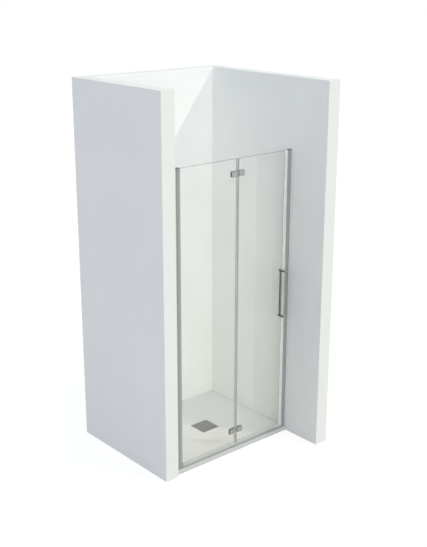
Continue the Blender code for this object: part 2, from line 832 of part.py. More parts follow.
def build_pivots(leaf_axis):
    """Upper and lower pivot pins, fixed to the frame, and the bushes that the leaf turns on."""
    block_top = FRAME_BOTTOM + PIVOT_BLOCK_HEIGHT
    lower_low = block_top - PIVOT_PIN_SEAT + FIT
    lower_high = LEAF_BOTTOM + PIVOT_PIN_REACH
    upper_low = LEAF_TOP - PIVOT_PIN_REACH
    upper_high = DOOR_TOP - FIT
    for name, low, high in (
        ("lower_pivot_pin", lower_low, lower_high),
        ("upper_pivot_pin", upper_low, upper_high),
    ):
        rod(name, PIVOT_PIN_RADIUS, high - low, (PIVOT_X, DOOR_Y, (low + high) / 2), finish="steel")
    outer = PIVOT_BUSH_RADIUS
    bore = PIVOT_PIN_RADIUS + FIT
    for name, low in (
        ("lower_pivot_bush", LEAF_BOTTOM + FIT),
        ("upper_pivot_bush", LEAF_TOP - PIVOT_PIN_REACH - FIT),
    ):
        high = low + PIVOT_PIN_REACH
        bush = turned(
            name,
            [(bore, high), (outer, high), (outer, low), (bore, low)],
            (PIVOT_X, DOOR_Y, 0.0),
            "plastic",
            ring=True,
        )
        carry(leaf_axis, bush)


def build_threshold():
    """Low dam across the tray: a heel behind and a quarter-ellipse front."""
    front = -THRESHOLD_DEPTH / 2
    back = THRESHOLD_DEPTH / 2
    radii = (THRESHOLD_DEPTH / 2, THRESHOLD_HEIGHT)
    brow = arc((0.0, 0.0), radii, QUARTER_TURN, 2 * QUARTER_TURN, THRESHOLD_ARC_STEPS)
    outline = [(back, 0.0), (back, THRESHOLD_HEEL)] + brow
    start = PIVOT_X + PIVOT_BLOCK_REACH + FIT
    end = STRIKE_FACE_X - FIT
    extruded(
        "threshold_strip",
        [outline],
        end - start,
        ((start + end) / 2, DOOR_Y + front, FRAME_BOTTOM),
        "aluminium",
        (QUARTER_TURN, 0.0, QUARTER_TURN),
    )


# Left leaf

def hinge_profile_outline():
    """Round-nosed extrusion about the pivot axis with the glazing slot on its far side."""
    half_slot = GLAZING_SLOT_WIDTH / 2
    nose = arc((0.0, 0.0), (NOSE_RADIUS, NOSE_RADIUS), QUARTER_TURN, 3 * QUARTER_TURN, NOSE_ARC_STEPS)
    return nose + [
        (PROFILE_REACH, -NOSE_RADIUS),
        (PROFILE_REACH, -half_slot),
        (GLAZING_SLOT_START, -half_slot),
        (GLAZING_SLOT_START, half_slot),
        (PROFILE_REACH, half_slot),
        (PROFILE_REACH, NOSE_RADIUS),
    ]


def build_hinge_profile(leaf_axis):
    """Leaf hinge profile with its axial bore, its clamp screws and the glazing gasket."""
    length = LEAF_TOP - LEAF_BOTTOM
    middle = (LEAF_TOP + LEAF_BOTTOM) / 2
    bore_outline = arc(
        (0.0, 0.0), (PROFILE_BORE_RADIUS, PROFILE_BORE_RADIUS), 0.0, 4 * QUARTER_TURN, TURN_STEPS
    )[:-1]
    profile = extruded(
        "leaf_hinge_profile",
        [hinge_profile_outline(), bore_outline],
        length,
        (PIVOT_X, DOOR_Y, middle),
        "aluminium",
    )
    carry(leaf_axis, profile)
    outer = GLAZING_SLOT_WIDTH / 2 - FIT
    inner = GLASS_FACE + FIT
    base = GLAZING_SLOT_START + FIT
    base_top = base + GASKET_BASE
    end = PROFILE_REACH + GASKET_PROUD
    outline = mirrored([(base_top, inner), (end, inner), (end, outer), (base, outer)])
    gasket = extruded("glazing_gasket", [outline], length, (PIVOT_X, DOOR_Y, middle), "grey_seal")
    carry(leaf_axis, gasket)
    face = DOOR_Y - NOSE_RADIUS
    wall = NOSE_RADIUS - GLAZING_SLOT_WIDTH / 2
    screw_length = wall - CLAMP_SCREW_SUNK
    for label, height in (
        ("upper", LEAF_TOP - CLAMP_SCREW_DROP),
        ("lower", LEAF_BOTTOM + CLAMP_SCREW_DROP),
    ):
        at_x = PIVOT_X + CLAMP_SCREW_OFFSET
        turn = (QUARTER_TURN, 0.0, 0.0)
        hole = rod(
            "clamp_screw_hole",
            CLAMP_SCREW_RADIUS + FIT,
            2 * (wall + OVERRUN),
            (at_x, face, height),
            turn,
        )
        cut(profile, hole)
        screw = rod(
            label + "_clamp_screw",
            CLAMP_SCREW_RADIUS,
            screw_length,
            (at_x, face + CLAMP_SCREW_SUNK + screw_length / 2, height),
            turn,
            "dark_steel",
        )
        socket = rod(
            "clamp_screw_socket",
            CLAMP_SOCKET_RADIUS,
            2 * CLAMP_SOCKET_DEPTH,
            (at_x, face + CLAMP_SCREW_SUNK, height),
            turn,
            sides=SOCKET_SIDES,
        )
        cut(screw, socket)
        carry(leaf_axis, screw)


def plate_centre(side):
    """Middle of a hinge plate along X; side is -1 on the left leaf and 1 on the right."""
    return FOLD_X + side * (PLATE_START + PLATE_WIDTH / 2)


def glass_hole(at_x, height):
    """Bored hole in the glass for a clamp or handle screw."""
    return rod(
        "glass_hole",
        GLASS_HOLE_RADIUS,
        2 * GLASS_THICKNESS,
        (at_x, DOOR_Y, height),
        (QUARTER_TURN, 0.0, 0.0),
    )


def build_glass(name, start, end, hole_side, axis):
    """One sheet of toughened glass with holes for its two hinges."""
    glass = box(
        name,
        (start, DOOR_Y - GLASS_FACE, LEAF_BOTTOM),
        (end, DOOR_Y + GLASS_FACE, LEAF_TOP),
        "glass",
    )
    round_edges(glass, GLASS_ARRIS, 1)
    for height in HINGE_HEIGHTS.values():
        cut(glass, glass_hole(plate_centre(hole_side), height))
    carry(axis, glass)
    return glass


def build_bottom_seal(name, start, end, axis):
    """Clip-on seal under a leaf with an upright wiper and a slanting drip lip on the shower side."""
    inner = GLASS_FACE + FIT
    outer = inner + SEAL_WALL
    crown = BOTTOM_SEAL_LAP
    seat = -FIT
    under = seat - SEAL_WEB
    tip = WIPER_TIP - LEAF_BOTTOM
    lip_thickness = WIPER_THICKNESS
    wiper = WIPER_THICKNESS / 2
    outline = [
        (-outer, crown),
        (-inner, crown),
        (-inner, seat),
        (inner, seat),
        (inner, crown),
        (outer, crown),
        (outer, under + lip_thickness),
        (outer + DRIP_LIP_REACH, under - DRIP_LIP_DROP + lip_thickness),
        (outer + DRIP_LIP_REACH, under - DRIP_LIP_DROP),
        (inner, under),
        (wiper, under),
        (wiper, tip),
        (-wiper, tip),
        (-wiper, under),
        (-outer, under),
    ]
    seal = extruded(
        name,
        [outline],
        end - start,
        ((start + end) / 2, DOOR_Y, LEAF_BOTTOM),
        "clear_seal",
        (QUARTER_TURN, 0.0, QUARTER_TURN),
    )
    carry(axis, seal)


def fold_seal_outline():
    """Section of one of the two seals between the leaves: a round-nosed bulb with flanges over the glass edge."""
    inner = GLASS_FACE + FIT
    outer = inner + SEAL_WALL
    seat = FOLD_GLASS_GAP - FIT
    nose_end = seat - SEAL_WEB
    nose = arc((nose_end, 0.0), (nose_end - FIT, outer), 2 * QUARTER_TURN, QUARTER_TURN, SEAL_ARC_STEPS)
    end = FOLD_GLASS_GAP + FOLD_SEAL_LAP
    half_outline = nose[1:] + [(end, outer), (end, inner), (seat, inner)]
    return [nose[0]] + mirrored(half_outline)


def build_fold_seal(name, side, axis):
    """Full-height seal on one leaf's folding edge, notched where the hinge plates sit."""
    outline = fold_seal_outline()
    seal = extruded(
        name,
        [flipped(outline, side)],
        LEAF_TOP - LEAF_BOTTOM,
        (FOLD_X, DOOR_Y, (LEAF_TOP + LEAF_BOTTOM) / 2),
        "clear_seal",
    )
    reach = GLASS_FACE + SEAL_WALL + 2 * FIT
    near = FOLD_X + side * (PLATE_START - 2 * FIT)
    far = FOLD_X + side * (FOLD_GLASS_GAP + FOLD_SEAL_LAP + OVERRUN)
    for height in HINGE_HEIGHTS.values():
        half = HINGE_HEIGHT / 2 + FIT
        notch = box(
            "hinge_notch",
            (min(near, far), DOOR_Y - reach, height - half),
            (max(near, far), DOOR_Y + reach, height + half),
        )
        cut(seal, notch)
    carry(axis, seal)


# Glass-to-glass hinges

def build_outer_plate(name, side, height, axis):
    """Plain clamp plate on the outer face of the glass, with a blind hole for the screw."""
    middle = DOOR_Y - (PLATE_INNER + PLATE_OUTER) / 2
    plate = extruded(
        name,
        [rounded_rectangle(PLATE_WIDTH, HINGE_HEIGHT, PLATE_CORNER)],
        PLATE_THICKNESS,
        (plate_centre(side), middle, height),
        "steel",
        (QUARTER_TURN, 0.0, 0.0),
    )
    round_edges(plate, PLATE_ARRIS)
    blind = HINGE_SCREW_BITE + FIT
    hole = rod(
        "outer_plate_hole",
        HINGE_SCREW_RADIUS + FIT,
        2 * blind,
        (plate_centre(side), DOOR_Y - PLATE_INNER, height),
        (QUARTER_TURN, 0.0, 0.0),
    )
    cut(plate, hole)
    carry(axis, plate)


def knuckle_spans(side, height):
    """Lowest and highest points of each knuckle: the middle one on the right leaf, two on the left."""
    half = HINGE_HEIGHT / 2
    middle_half = MIDDLE_KNUCKLE_HEIGHT / 2
    if side == 1:
        return [(height - middle_half, height + middle_half)]
    return [
        (height - half, height - middle_half - FIT),
        (height + middle_half + FIT, height + half),
    ]


def build_inner_plate(name, side, height, axis):
    """Clamp plate on the shower side with its hinge knuckles, pin bore and countersunk hole."""
    middle = DOOR_Y + (PLATE_INNER + PLATE_OUTER) / 2
    plate = extruded(
        name,
        [rounded_rectangle(PLATE_WIDTH, HINGE_HEIGHT, PLATE_CORNER)],
        PLATE_THICKNESS,
        (plate_centre(side), middle, height),
        "steel",
        (QUARTER_TURN, 0.0, 0.0),
    )
    round_edges(plate, PLATE_ARRIS)
    web_low = DOOR_Y + PLATE_OUTER - KNUCKLE_WEB
    web_high = DOOR_Y + PLATE_OUTER - FIT
    far = FOLD_X + side * (PLATE_START + PLATE_CORNER + PLATE_ARRIS)
    for low, high in knuckle_spans(side, height):
        knuckle = rod("knuckle", KNUCKLE_RADIUS, high - low, (FOLD_X, FOLD_Y, (low + high) / 2))
        web = box("knuckle_web", (min(FOLD_X, far), web_low, low), (max(FOLD_X, far), web_high, high))
        join(plate, knuckle, web)
    bore = rod(
        "hinge_pin_bore", HINGE_PIN_RADIUS + FIT, HINGE_HEIGHT + 2 * OVERRUN, (FOLD_X, FOLD_Y, height)
    )
    cut(plate, bore, countersunk_hole(plate_centre(side), height))
    carry(axis, plate)


def screw_cone():
    """Depth of a countersunk head whose sides slope at 45 degrees."""
    return HINGE_SCREW_HEAD_RADIUS - HINGE_SCREW_RADIUS


def countersunk_hole(at_x, height):
    """Hole through the inner plate with a cone for the screw head."""
    cone = screw_cone()
    shank = HINGE_SCREW_RADIUS + FIT
    head = HINGE_SCREW_HEAD_RADIUS + FIT
    profile = [
        (0.0, OVERRUN),
        (head, OVERRUN),
        (head, -HINGE_SCREW_SUNK),
        (shank, -HINGE_SCREW_SUNK - cone),
        (shank, -PLATE_THICKNESS - OVERRUN),
        (0.0, -PLATE_THICKNESS - OVERRUN),
    ]
    return turned(
        "countersunk_hole",
        profile,
        (at_x, DOOR_Y + PLATE_OUTER, height),
        turn=(-QUARTER_TURN, 0.0, 0.0),
    )


def build_hinge_screw(name, side, height, axis):
    """Countersunk screw from the shower side, through the glass hole, into the outer plate."""
    top = -HINGE_SCREW_SUNK
    cone = screw_cone()
    tip = -(PLATE_THICKNESS + 2 * PLATE_INNER + HINGE_SCREW_BITE)
    profile = [
        (0.0, top),
        (HINGE_SCREW_HEAD_RADIUS, top),
        (HINGE_SCREW_RADIUS, top - cone),
        (HINGE_SCREW_RADIUS, tip),
        (0.0, tip),
    ]
    screw = turned(
        name,
        profile,
        (plate_centre(side), DOOR_Y + PLATE_OUTER, height),
        "steel",
        (-QUARTER_TURN, 0.0, 0.0),
    )
    carry(axis, screw)


def build_hinge_pin(name, height, axis):
    """Pin through the knuckles with a button head at each end."""
    half = HINGE_HEIGHT / 2 + FIT
    end = half + HINGE_PIN_HEAD
    profile = [
        (0.0, end),
        (HINGE_PIN_HEAD_RADIUS, end),
        (HINGE_PIN_HEAD_RADIUS, half),
        (HINGE_PIN_RADIUS, half),
        (HINGE_PIN_RADIUS, -half),
        (HINGE_PIN_HEAD_RADIUS, -half),
        (HINGE_PIN_HEAD_RADIUS, -end),
        (0.0, -end),
    ]
    pin = turned(name, profile, (FOLD_X, FOLD_Y, height), "steel")
    carry(axis, pin)


def build_hinges(left_axis, right_axis):
    """The upper and lower glass-to-glass hinges."""
    for label, height in HINGE_HEIGHTS.items():
        for side, leaf, axis in ((-1, "left", left_axis), (1, "right", right_axis)):
            stem = label + "_hinge_" + leaf
            build_outer_plate(stem + "_outer_plate", side, height, axis)
            build_inner_plate(stem + "_inner_plate", side, height, axis)
            build_hinge_screw(stem + "_screw", side, height, axis)
        build_hinge_pin(label + "_hinge_pin", height, left_axis)


# Right leaf

def build_leaf_magnet_seal(axis):
    """Magnetic strip clipped on the free edge of the right leaf."""
    inner = GLASS_FACE + FIT
    outer = inner + SEAL_WALL
    half = MAGNET_WIDTH / 2
    edge = RIGHT_GLASS_EDGE_X
    seat = FIT
    shoulder = seat + SEAL_WEB
    front = LEAF_EDGE_X - edge
    corner = arc(
        (front - MAGNET_CORNER, half - MAGNET_CORNER),
        (MAGNET_CORNER, MAGNET_CORNER),
        QUARTER_TURN,
        0.0,
        ROUND_STEPS,
    )
    half_outline = [(seat, inner), (-LEAF_SEAL_LAP, inner), (-LEAF_SEAL_LAP, outer), (shoulder, outer)]
    half_outline += [(shoulder + half - outer, half)] + corner
    seal = extruded(
        "leaf_magnet_seal",
        [mirrored(half_outline)],
        LEAF_TOP - WIPER_TIP,
        (edge, DOOR_Y, (LEAF_TOP + WIPER_TIP) / 2),
        "clear_seal",
    )
    carry(axis, seal)


def build_handle(axis, glass):
    """Closed square-bar loop against the outer face of the glass, held by two screws from inside."""
    back = -(GLASS_FACE + FIT)
    depth_centre = back - HANDLE_PROJECTION / 2
    inner_depth = HANDLE_PROJECTION - 2 * HANDLE_BAR
    inner_height = HANDLE_HEIGHT - 2 * HANDLE_BAR
    loop = extruded(
        "loop_handle",
        [
            rounded_rectangle(HANDLE_PROJECTION, HANDLE_HEIGHT, HANDLE_CORNER),
            rounded_rectangle(inner_depth, inner_height, HANDLE_EDGE_ROUND),
        ],
        HANDLE_BAR,
        (HANDLE_X, DOOR_Y + depth_centre, HANDLE_Z),
        "steel",
        (QUARTER_TURN, 0.0, QUARTER_TURN),
    )
    round_edges(loop, HANDLE_EDGE_ROUND)
    carry(axis, loop)
    head_seat = DOOR_Y + GLASS_FACE + FIT
    shank = GLASS_THICKNESS + 2 * FIT + HANDLE_SCREW_BITE
    for label, height in (
        ("upper", HANDLE_Z + HANDLE_ARM_OFFSET),
        ("lower", HANDLE_Z - HANDLE_ARM_OFFSET),
    ):
        cut(glass, glass_hole(HANDLE_X, height))
        hole = rod(
            "handle_screw_hole",
            HANDLE_SCREW_RADIUS + FIT,
            2 * (HANDLE_SCREW_BITE + FIT),
            (HANDLE_X, DOOR_Y + back, height),
            (QUARTER_TURN, 0.0, 0.0),
        )
        cut(loop, hole)
        screw = turned(
            label + "_handle_screw",
            [
                (0.0, HANDLE_SCREW_HEAD),
                (HANDLE_SCREW_HEAD_RADIUS - HANDLE_SCREW_HEAD / 2, HANDLE_SCREW_HEAD),
                (HANDLE_SCREW_HEAD_RADIUS, HANDLE_SCREW_HEAD / 2),
                (HANDLE_SCREW_HEAD_RADIUS, 0.0),
                (HANDLE_SCREW_RADIUS, 0.0),
                (HANDLE_SCREW_RADIUS, -shank),
                (0.0, -shank),
            ],
            (HANDLE_X, head_seat, height),
            "steel",
            (-QUARTER_TURN, 0.0, 0.0),
        )
        carry(axis, screw)


def build_left_leaf(axis):
    """Everything that swings on the wall-side pivots."""
    build_hinge_profile(axis)
    build_glass("left_glass", LEFT_GLASS_EDGE_X, FOLD_X - FOLD_GLASS_GAP, -1, axis)
    seal_start = PIVOT_X + PIVOT_BLOCK_REACH + BOTTOM_SEAL_START_GAP
    seal_end = FOLD_X - FOLD_GLASS_GAP - FOLD_SEAL_LAP - FIT
    build_bottom_seal("left_bottom_seal", seal_start, seal_end, axis)
    build_fold_seal("left_fold_seal", -1, axis)


def build_right_leaf(axis):
    """Everything that folds on the glass-to-glass hinges."""
    glass = build_glass("right_glass", FOLD_X + FOLD_GLASS_GAP, RIGHT_GLASS_EDGE_X, 1, axis)
    seal_start = FOLD_X + FOLD_GLASS_GAP + FOLD_SEAL_LAP + FIT
    seal_end = RIGHT_GLASS_EDGE_X - LEAF_SEAL_LAP - FIT
    build_bottom_seal("right_bottom_seal", seal_start, seal_end, axis)
    build_fold_seal("right_fold_seal", 1, axis)
    build_leaf_magnet_seal(axis)
    build_handle(axis, glass)


def build_frame():
    """Channels, jambs, caps, seals and screws that stay on the walls."""
    for label, side in (("hinge", 1), ("strike", -1)):
        build_wall_channel(label + "_wall_channel", side)
        build_jamb(label + "_jamb", side)
        build_frame_screws(label, side)
    build_frame_seals()
    plate = build_top_cap("upper_pivot_plate", 1, PIVOT_X + PROFILE_REACH - LEFT_FACE)
    hole = rod("upper_pin_hole", PIVOT_PIN_RADIUS + FIT, 2 * CAP_THICKNESS, (PIVOT_X, DOOR_Y, DOOR_TOP))
    cut(plate, hole)
    build_top_cap("strike_top_cap", -1, STRIKE_STANDOFF + JAMB_WIDTH)
    build_lower_pivot_block()
    build_threshold()


def build_enclosure():
    """Build every piece of the shower enclosure."""
    build_walls()
    build_tray()
    build_waste()
    build_drain_cover()
    build_frame()
    left_axis = new_axis("left_leaf_axis", (PIVOT_X, DOOR_Y, LEAF_BOTTOM))
    right_axis = new_axis("right_leaf_axis", (FOLD_X, FOLD_Y, LEAF_BOTTOM), left_axis)
    build_pivots(left_axis)
    build_left_leaf(left_axis)
    build_right_leaf(right_axis)
    build_hinges(left_axis, right_axis)


clear_scene()
MODEL = new_collection("shower_enclosure")
CUTTERS = new_collection("shower_enclosure_cutters")
build_enclosure()
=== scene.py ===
"""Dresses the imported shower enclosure: three walls, a tray with its drain and a bi-fold glass door.

The file is laid out as an add-on and is run as a script. All sizes are metres in the part's own frame.
"""

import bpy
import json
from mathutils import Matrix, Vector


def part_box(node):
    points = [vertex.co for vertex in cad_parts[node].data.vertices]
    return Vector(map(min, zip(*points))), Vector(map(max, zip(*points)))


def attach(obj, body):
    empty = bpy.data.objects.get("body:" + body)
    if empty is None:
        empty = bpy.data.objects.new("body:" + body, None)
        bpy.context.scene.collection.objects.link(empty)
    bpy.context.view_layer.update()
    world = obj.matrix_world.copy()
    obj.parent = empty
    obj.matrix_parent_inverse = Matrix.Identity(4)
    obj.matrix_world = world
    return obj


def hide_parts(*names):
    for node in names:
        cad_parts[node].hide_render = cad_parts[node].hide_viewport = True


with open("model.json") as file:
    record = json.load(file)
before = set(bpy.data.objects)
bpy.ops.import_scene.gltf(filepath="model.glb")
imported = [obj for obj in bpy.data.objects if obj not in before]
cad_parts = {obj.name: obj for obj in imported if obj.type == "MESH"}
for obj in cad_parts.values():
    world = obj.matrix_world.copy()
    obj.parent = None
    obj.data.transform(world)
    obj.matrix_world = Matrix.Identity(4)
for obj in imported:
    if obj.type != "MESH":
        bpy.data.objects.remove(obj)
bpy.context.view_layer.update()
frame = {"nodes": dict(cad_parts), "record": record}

import json
import math

import bmesh
import bpy
import numpy as np
from bpy.props import FloatProperty, FloatVectorProperty, PointerProperty
from bpy.types import Operator, Panel, PropertyGroup
from mathutils import Matrix, Vector

bl_info = {
    "name": "Shower Enclosure",
    "version": (1, 0, 0),
    "blender": (4, 5, 0),
    "location": "View3D > Sidebar > Shower",
    "description": "Builds the walls, tray, drain and bi-fold glass door of an alcove shower enclosure",
    "category": "Object",
}

# Shared sizes in metres
GUARD = 0.0002         # from a rounded edge to the next point on its flat
WELD = 0.0000005       # points closer than this are one
OVERRUN = 0.001        # how far a hole's tool passes the surface
ARRIS = 0.0001         # edge of a sawn end
FIT = 0.0003           # clearance between neighbours
PIN_BORE = 0.0033
JAMB_WIDTH = 0.028
JAMB_HALF = 0.010
JAMB_HOLLOW = 0.0048   # from the jamb's face to its hollow
WEB_FACE = 0.0021      # from the wall to just past the channel's web
PLATE_HALF = 0.020     # half the height of a hinge plate
KNUCKLE_HALF = 0.008
MAGNET_HALF = 0.006    # half the width of a magnet pocket
SEAL_WALL = 0.0009     # thickness of a seal's flange over the glass
WASTE_RADIUS = 0.045

# Counts, and the angle above which an edge is shaded sharp
ARC_STEPS = 6
EDGE_STEPS = 4
TURN_POINTS = 48
RIM_POINTS = 96
HEXAGON = 6
SHARP_ANGLE = math.radians(34.0)

# How much of its colour a part with painted shade keeps, and plain colours
FLANK_SHADE_SHARE = 0.22
END_SHADE_SHARE = (0.88, 0.88, 0.85)
LIP_SHADE_SHARE = 0.74
LOW_HINGE_SHADE_SHARE = 0.86
WHITE = (1.0, 1.0, 1.0, 1.0)
BLACK_PLASTIC = (0.06, 0.06, 0.06)
BLACKENED = (0.025, 0.025, 0.025)

# Which world axis each of a drawing's three directions becomes
ALONG = {"Z": (0, 1, 2), "X": (2, 0, 1), "Y": (0, 2, 1)}


def corners_of(node):
    """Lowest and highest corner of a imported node, as arrays."""
    low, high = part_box(node)
    return np.array(low), np.array(high)


def middle_of(node):
    """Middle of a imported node's box."""
    return sum(corners_of(node)) / 2


def span(node, axis=2):
    """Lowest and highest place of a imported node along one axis."""
    return [corner[axis] for corner in corners_of(node)]


# Places and bodies read from the imported model
LEFT_FACE = span("left_wall", 0)[1]
RIGHT_FACE = span("right_wall", 0)[0]
DOOR_Y = middle_of("left_glass")[1]
GLASS_HALF = DOOR_Y - span("left_glass", 1)[0]
SEAL_INSIDE, SEAL_OUTSIDE = GLASS_HALF + FIT, GLASS_HALF + FIT + SEAL_WALL
LEAF_LOW, LEAF_HIGH = span("leaf_hinge_profile")
FRAME_LOW, FRAME_HIGH = span("hinge_jamb")
PIVOT = np.array([middle_of("upper_pivot_pin")[0], DOOR_Y, 0.0])
FOLD = middle_of("upper_hinge_pin") * (1, 1, 0)
DRAIN = middle_of("drain_cover") * (1, 1, 0)
BODY_OF = {node: body for body, nodes in frame["record"]["behaviour"]["bodies"].items() for node in nodes}


# Outlines and loops

def round_corners(corners, radii, steps=ARC_STEPS):
    """Arcs that replace the corners of a closed outline.

    Each corner becomes the arc that touches both of its sides, with its centre on the bisector at
    radius / sin(half angle). A point just before and one just after it keep the flats flat when shaded.
    """
    corner = np.asarray(corners, float)
    radius = np.broadcast_to(np.asarray(radii, float), len(corner))
    back = np.roll(corner, 1, 0) - corner
    on = np.roll(corner, -1, 0) - corner
    side = np.linalg.norm(on, axis=1)
    back /= np.linalg.norm(back, axis=1)[:, None]
    on /= side[:, None]
    half = np.arccos(np.clip((back * on).sum(1), -1.0, 1.0)) / 2
    touch = radius / np.tan(half)
    bisector = back + on
    bisector /= np.maximum(np.linalg.norm(bisector, axis=1), WELD)[:, None]
    centre = corner + bisector * (radius / np.sin(half))[:, None]
    start = corner + back * touch[:, None]
    end = corner + on * touch[:, None]
    first = np.arctan2(*(start - centre).T[::-1])
    last = np.arctan2(*(end - centre).T[::-1])
    sweep = (last - first + math.pi) % (2 * math.pi) - math.pi
    angle = first[:, None] + sweep[:, None] * np.linspace(0.0, 1.0, steps + 1)
    ring = np.stack([np.cos(angle), np.sin(angle)], 2)
    arcs = centre[:, None] + radius[:, None, None] * ring
    flat = np.clip((side - touch - np.roll(touch, -1)) * 0.3, 0.0, GUARD)
    before = start + back * np.roll(flat, 1)[:, None]
    after = end + on * flat[:, None]
    return np.concatenate([before[:, None], arcs, after[:, None]], 1)


def outline(corners, radii, steps=ARC_STEPS):
    """A closed outline with rounded corners and no doubled points."""
    points = round_corners(corners, radii, steps).reshape(-1, 2)
    gap = np.linalg.norm(points - np.roll(points, 1, 0), axis=1)
    return points[gap > WELD * 10]


def both_sides(half, radii):
    """Completes half of an outline, and its radii, by its mirror image across the first axis."""
    half = np.asarray(half, float)
    radii = np.broadcast_to(np.asarray(radii, float), len(half))
    return np.vstack([half, half[::-1] * (1, -1)]), np.concatenate([radii, radii[::-1]])


def ellipse_arc(centre, radii, start, end, steps):
    """Points centre + radii * (cos, sin) from one angle in degrees to another."""
    angle = np.radians(np.linspace(start, end, steps + 1))
    return np.asarray(centre) + np.stack([np.cos(angle), np.sin(angle)], 1) * radii


def drawn_in(points, amount):
    """Moves a counter-clockwise outline inwards by amount, along the mitre of its two sides."""
    side = np.roll(points, -1, 0) - points
    side /= np.linalg.norm(side, axis=1)[:, None]
    normal = np.stack([-side[:, 1], side[:, 0]], 1)
    before = np.roll(normal, 1, 0)
    mitre = (normal + before) / (1 + (normal * before).sum(1))[:, None]
    return points + mitre * amount


def counter_clockwise(points):
    """The same outline, turned round if its area by the shoelace sum is negative."""
    following = np.roll(points, -1, 0)
    area = (points[:, 0] * following[:, 1] - points[:, 1] * following[:, 0]).sum()
    return points if area > 0 else points[::-1]


def quarter_round(edge, steps):
    """Insets and rises along a quarter-round edge: edge * (1 - sin t) and edge * (1 - cos t)."""
    turn = np.linspace(0.0, math.pi / 2, steps + 1)
    return edge * (1 - np.sin(turn)), edge * (1 - np.cos(turn))


def edge_stations(low, high, edge, steps=EDGE_STEPS):
    """Heights and insets of the sections of a bar whose two ends have quarter-round edges."""
    inset, rise = quarter_round(edge, steps)
    guard = min(GUARD, (high - low - 2 * edge) * 0.3)
    insets = np.concatenate([inset, [0.0, 0.0], inset[::-1]])
    heights = np.concatenate([low + rise, [low + edge + guard, high - edge - guard], high - rise[::-1]])
    return heights, insets


def skin(loops, axis="Z", closed=False):
    """Quads between a stack of closed loops of equal count; open stacks get a flat face at each end.

    The loops are an array of sections by points by (across, up, along). If the enclosed volume comes out
    negative, the faces are turned round, so that they point outwards.
    """
    loops = np.asarray(loops, float)[..., ALONG[axis]]
    rows, count = loops.shape[:2]
    points = loops.reshape(-1, 3)
    row = np.arange(rows if closed else rows - 1)[:, None] * count
    here = np.arange(count)[None]
    beyond = (here + 1) % count
    upper = (row + count) % (rows * count)
    quads = np.stack([row + here, row + beyond, upper + beyond, upper + here], 2).reshape(-1, 4)
    a, b, c, d = (points[quads[:, index]] for index in range(4))
    volume = (np.cross(a, b) * c).sum() + (np.cross(a, c) * d).sum()
    caps = []
    if not closed:
        caps = [np.arange(count)[::-1], (rows - 1) * count + np.arange(count)]
        for cap in caps:
            fan = points[cap]
            volume += (np.cross(fan[0], fan[1:-1]) * fan[2:]).sum()
    if volume < 0:
        quads = quads[:, ::-1]
        caps = [cap[::-1] for cap in caps]
    return points, quads.tolist() + [cap.tolist() for cap in caps]


def extrusion(points, low, high, edge=ARRIS, axis="Z"):
    """An outline carried along an axis, with quarter-round edges at both ends."""
    points = counter_clockwise(points)
    heights, insets = edge_stations(low, high, edge)
    loops = [
        np.column_stack([drawn_in(points, inset), np.full(len(points), height)])
        for height, inset in zip(heights, insets)
    ]
    return skin(loops, axis)


def ring(centre, half, radius, height, steps=ARC_STEPS):
    """One rounded-rectangle loop about a centre at one height."""
    across, up = half
    corners = np.array([(-across, -up), (across, -up), (across, up), (-across, up)]) + centre
    points = round_corners(corners, radius, steps).reshape(-1, 2)
    return np.column_stack([points, np.full(len(points), height)])


def block(low, high, corner, edge, axis="Z", steps=ARC_STEPS):
    """A box with round corners and quarter-round ends: rounded rectangles, drawn in at both ends."""
    order = np.argsort(ALONG[axis])
    low, high = np.asarray(low, float)[order], np.asarray(high, float)[order]
    centre, half = (low + high)[:2] / 2, (high - low)[:2] / 2
    heights, insets = edge_stations(low[2], high[2], edge)
    loops = [
        ring(centre, half - inset, max(corner - inset, GUARD / 4), height, steps)
        for height, inset in zip(heights, insets)
    ]
    return skin(loops, axis)


def turned(stations, centre, axis="Z", flip=1, closed=False, count=TURN_POINTS):
    """A lathe-turned form: each station is a height, a radius and, where it isn't round, its number of sides.

    With sides, the radius at angle t is apothem / cos(t folded into one side), which draws a regular polygon.
    """
    angle = np.linspace(0.0, 2 * math.pi, count, endpoint=False)
    loops = []
    for height, radius, *sides in stations:
        reach = np.full(count, radius)
        if sides:
            wedge = math.pi / sides[0]
            reach = radius / np.cos((angle + wedge) % (2 * wedge) - wedge)
        flat = np.stack([reach * np.cos(angle), reach * np.sin(angle), np.full(count, height * flip)], 1)
        loops.append(flat + np.asarray(centre)[np.argsort(ALONG[axis])])
    return skin(loops, axis, closed)


def drilled(low, high, radius, centre, axis="Z"):
    """The shell of a plain round hole from one height to another."""
    return turned([(low, radius), (high, radius)], centre, axis)


def sleeve(low, high, inner, outer, edge, centre, count=TURN_POINTS):
    """A turned ring of rectangular section with rounded edges."""
    corners = [(low, inner), (low, outer), (high, outer), (high, inner)]
    return turned(outline(corners, edge, 3), centre, closed=True, count=count)


# Pieces

def make_mesh(name, shell):
    """One mesh of a closed shell, with its doubled points welded."""
    points, faces = shell
    mesh = bpy.data.meshes.new(name)
    mesh.from_pydata(points.tolist(), [], faces)
    shape = bmesh.new()
    shape.from_mesh(mesh)
    bmesh.ops.remove_doubles(shape, verts=shape.verts, dist=WELD)
    bmesh.ops.dissolve_degenerate(shape, edges=shape.edges, dist=WELD)
    shape.to_mesh(mesh)
    shape.free()
    return mesh


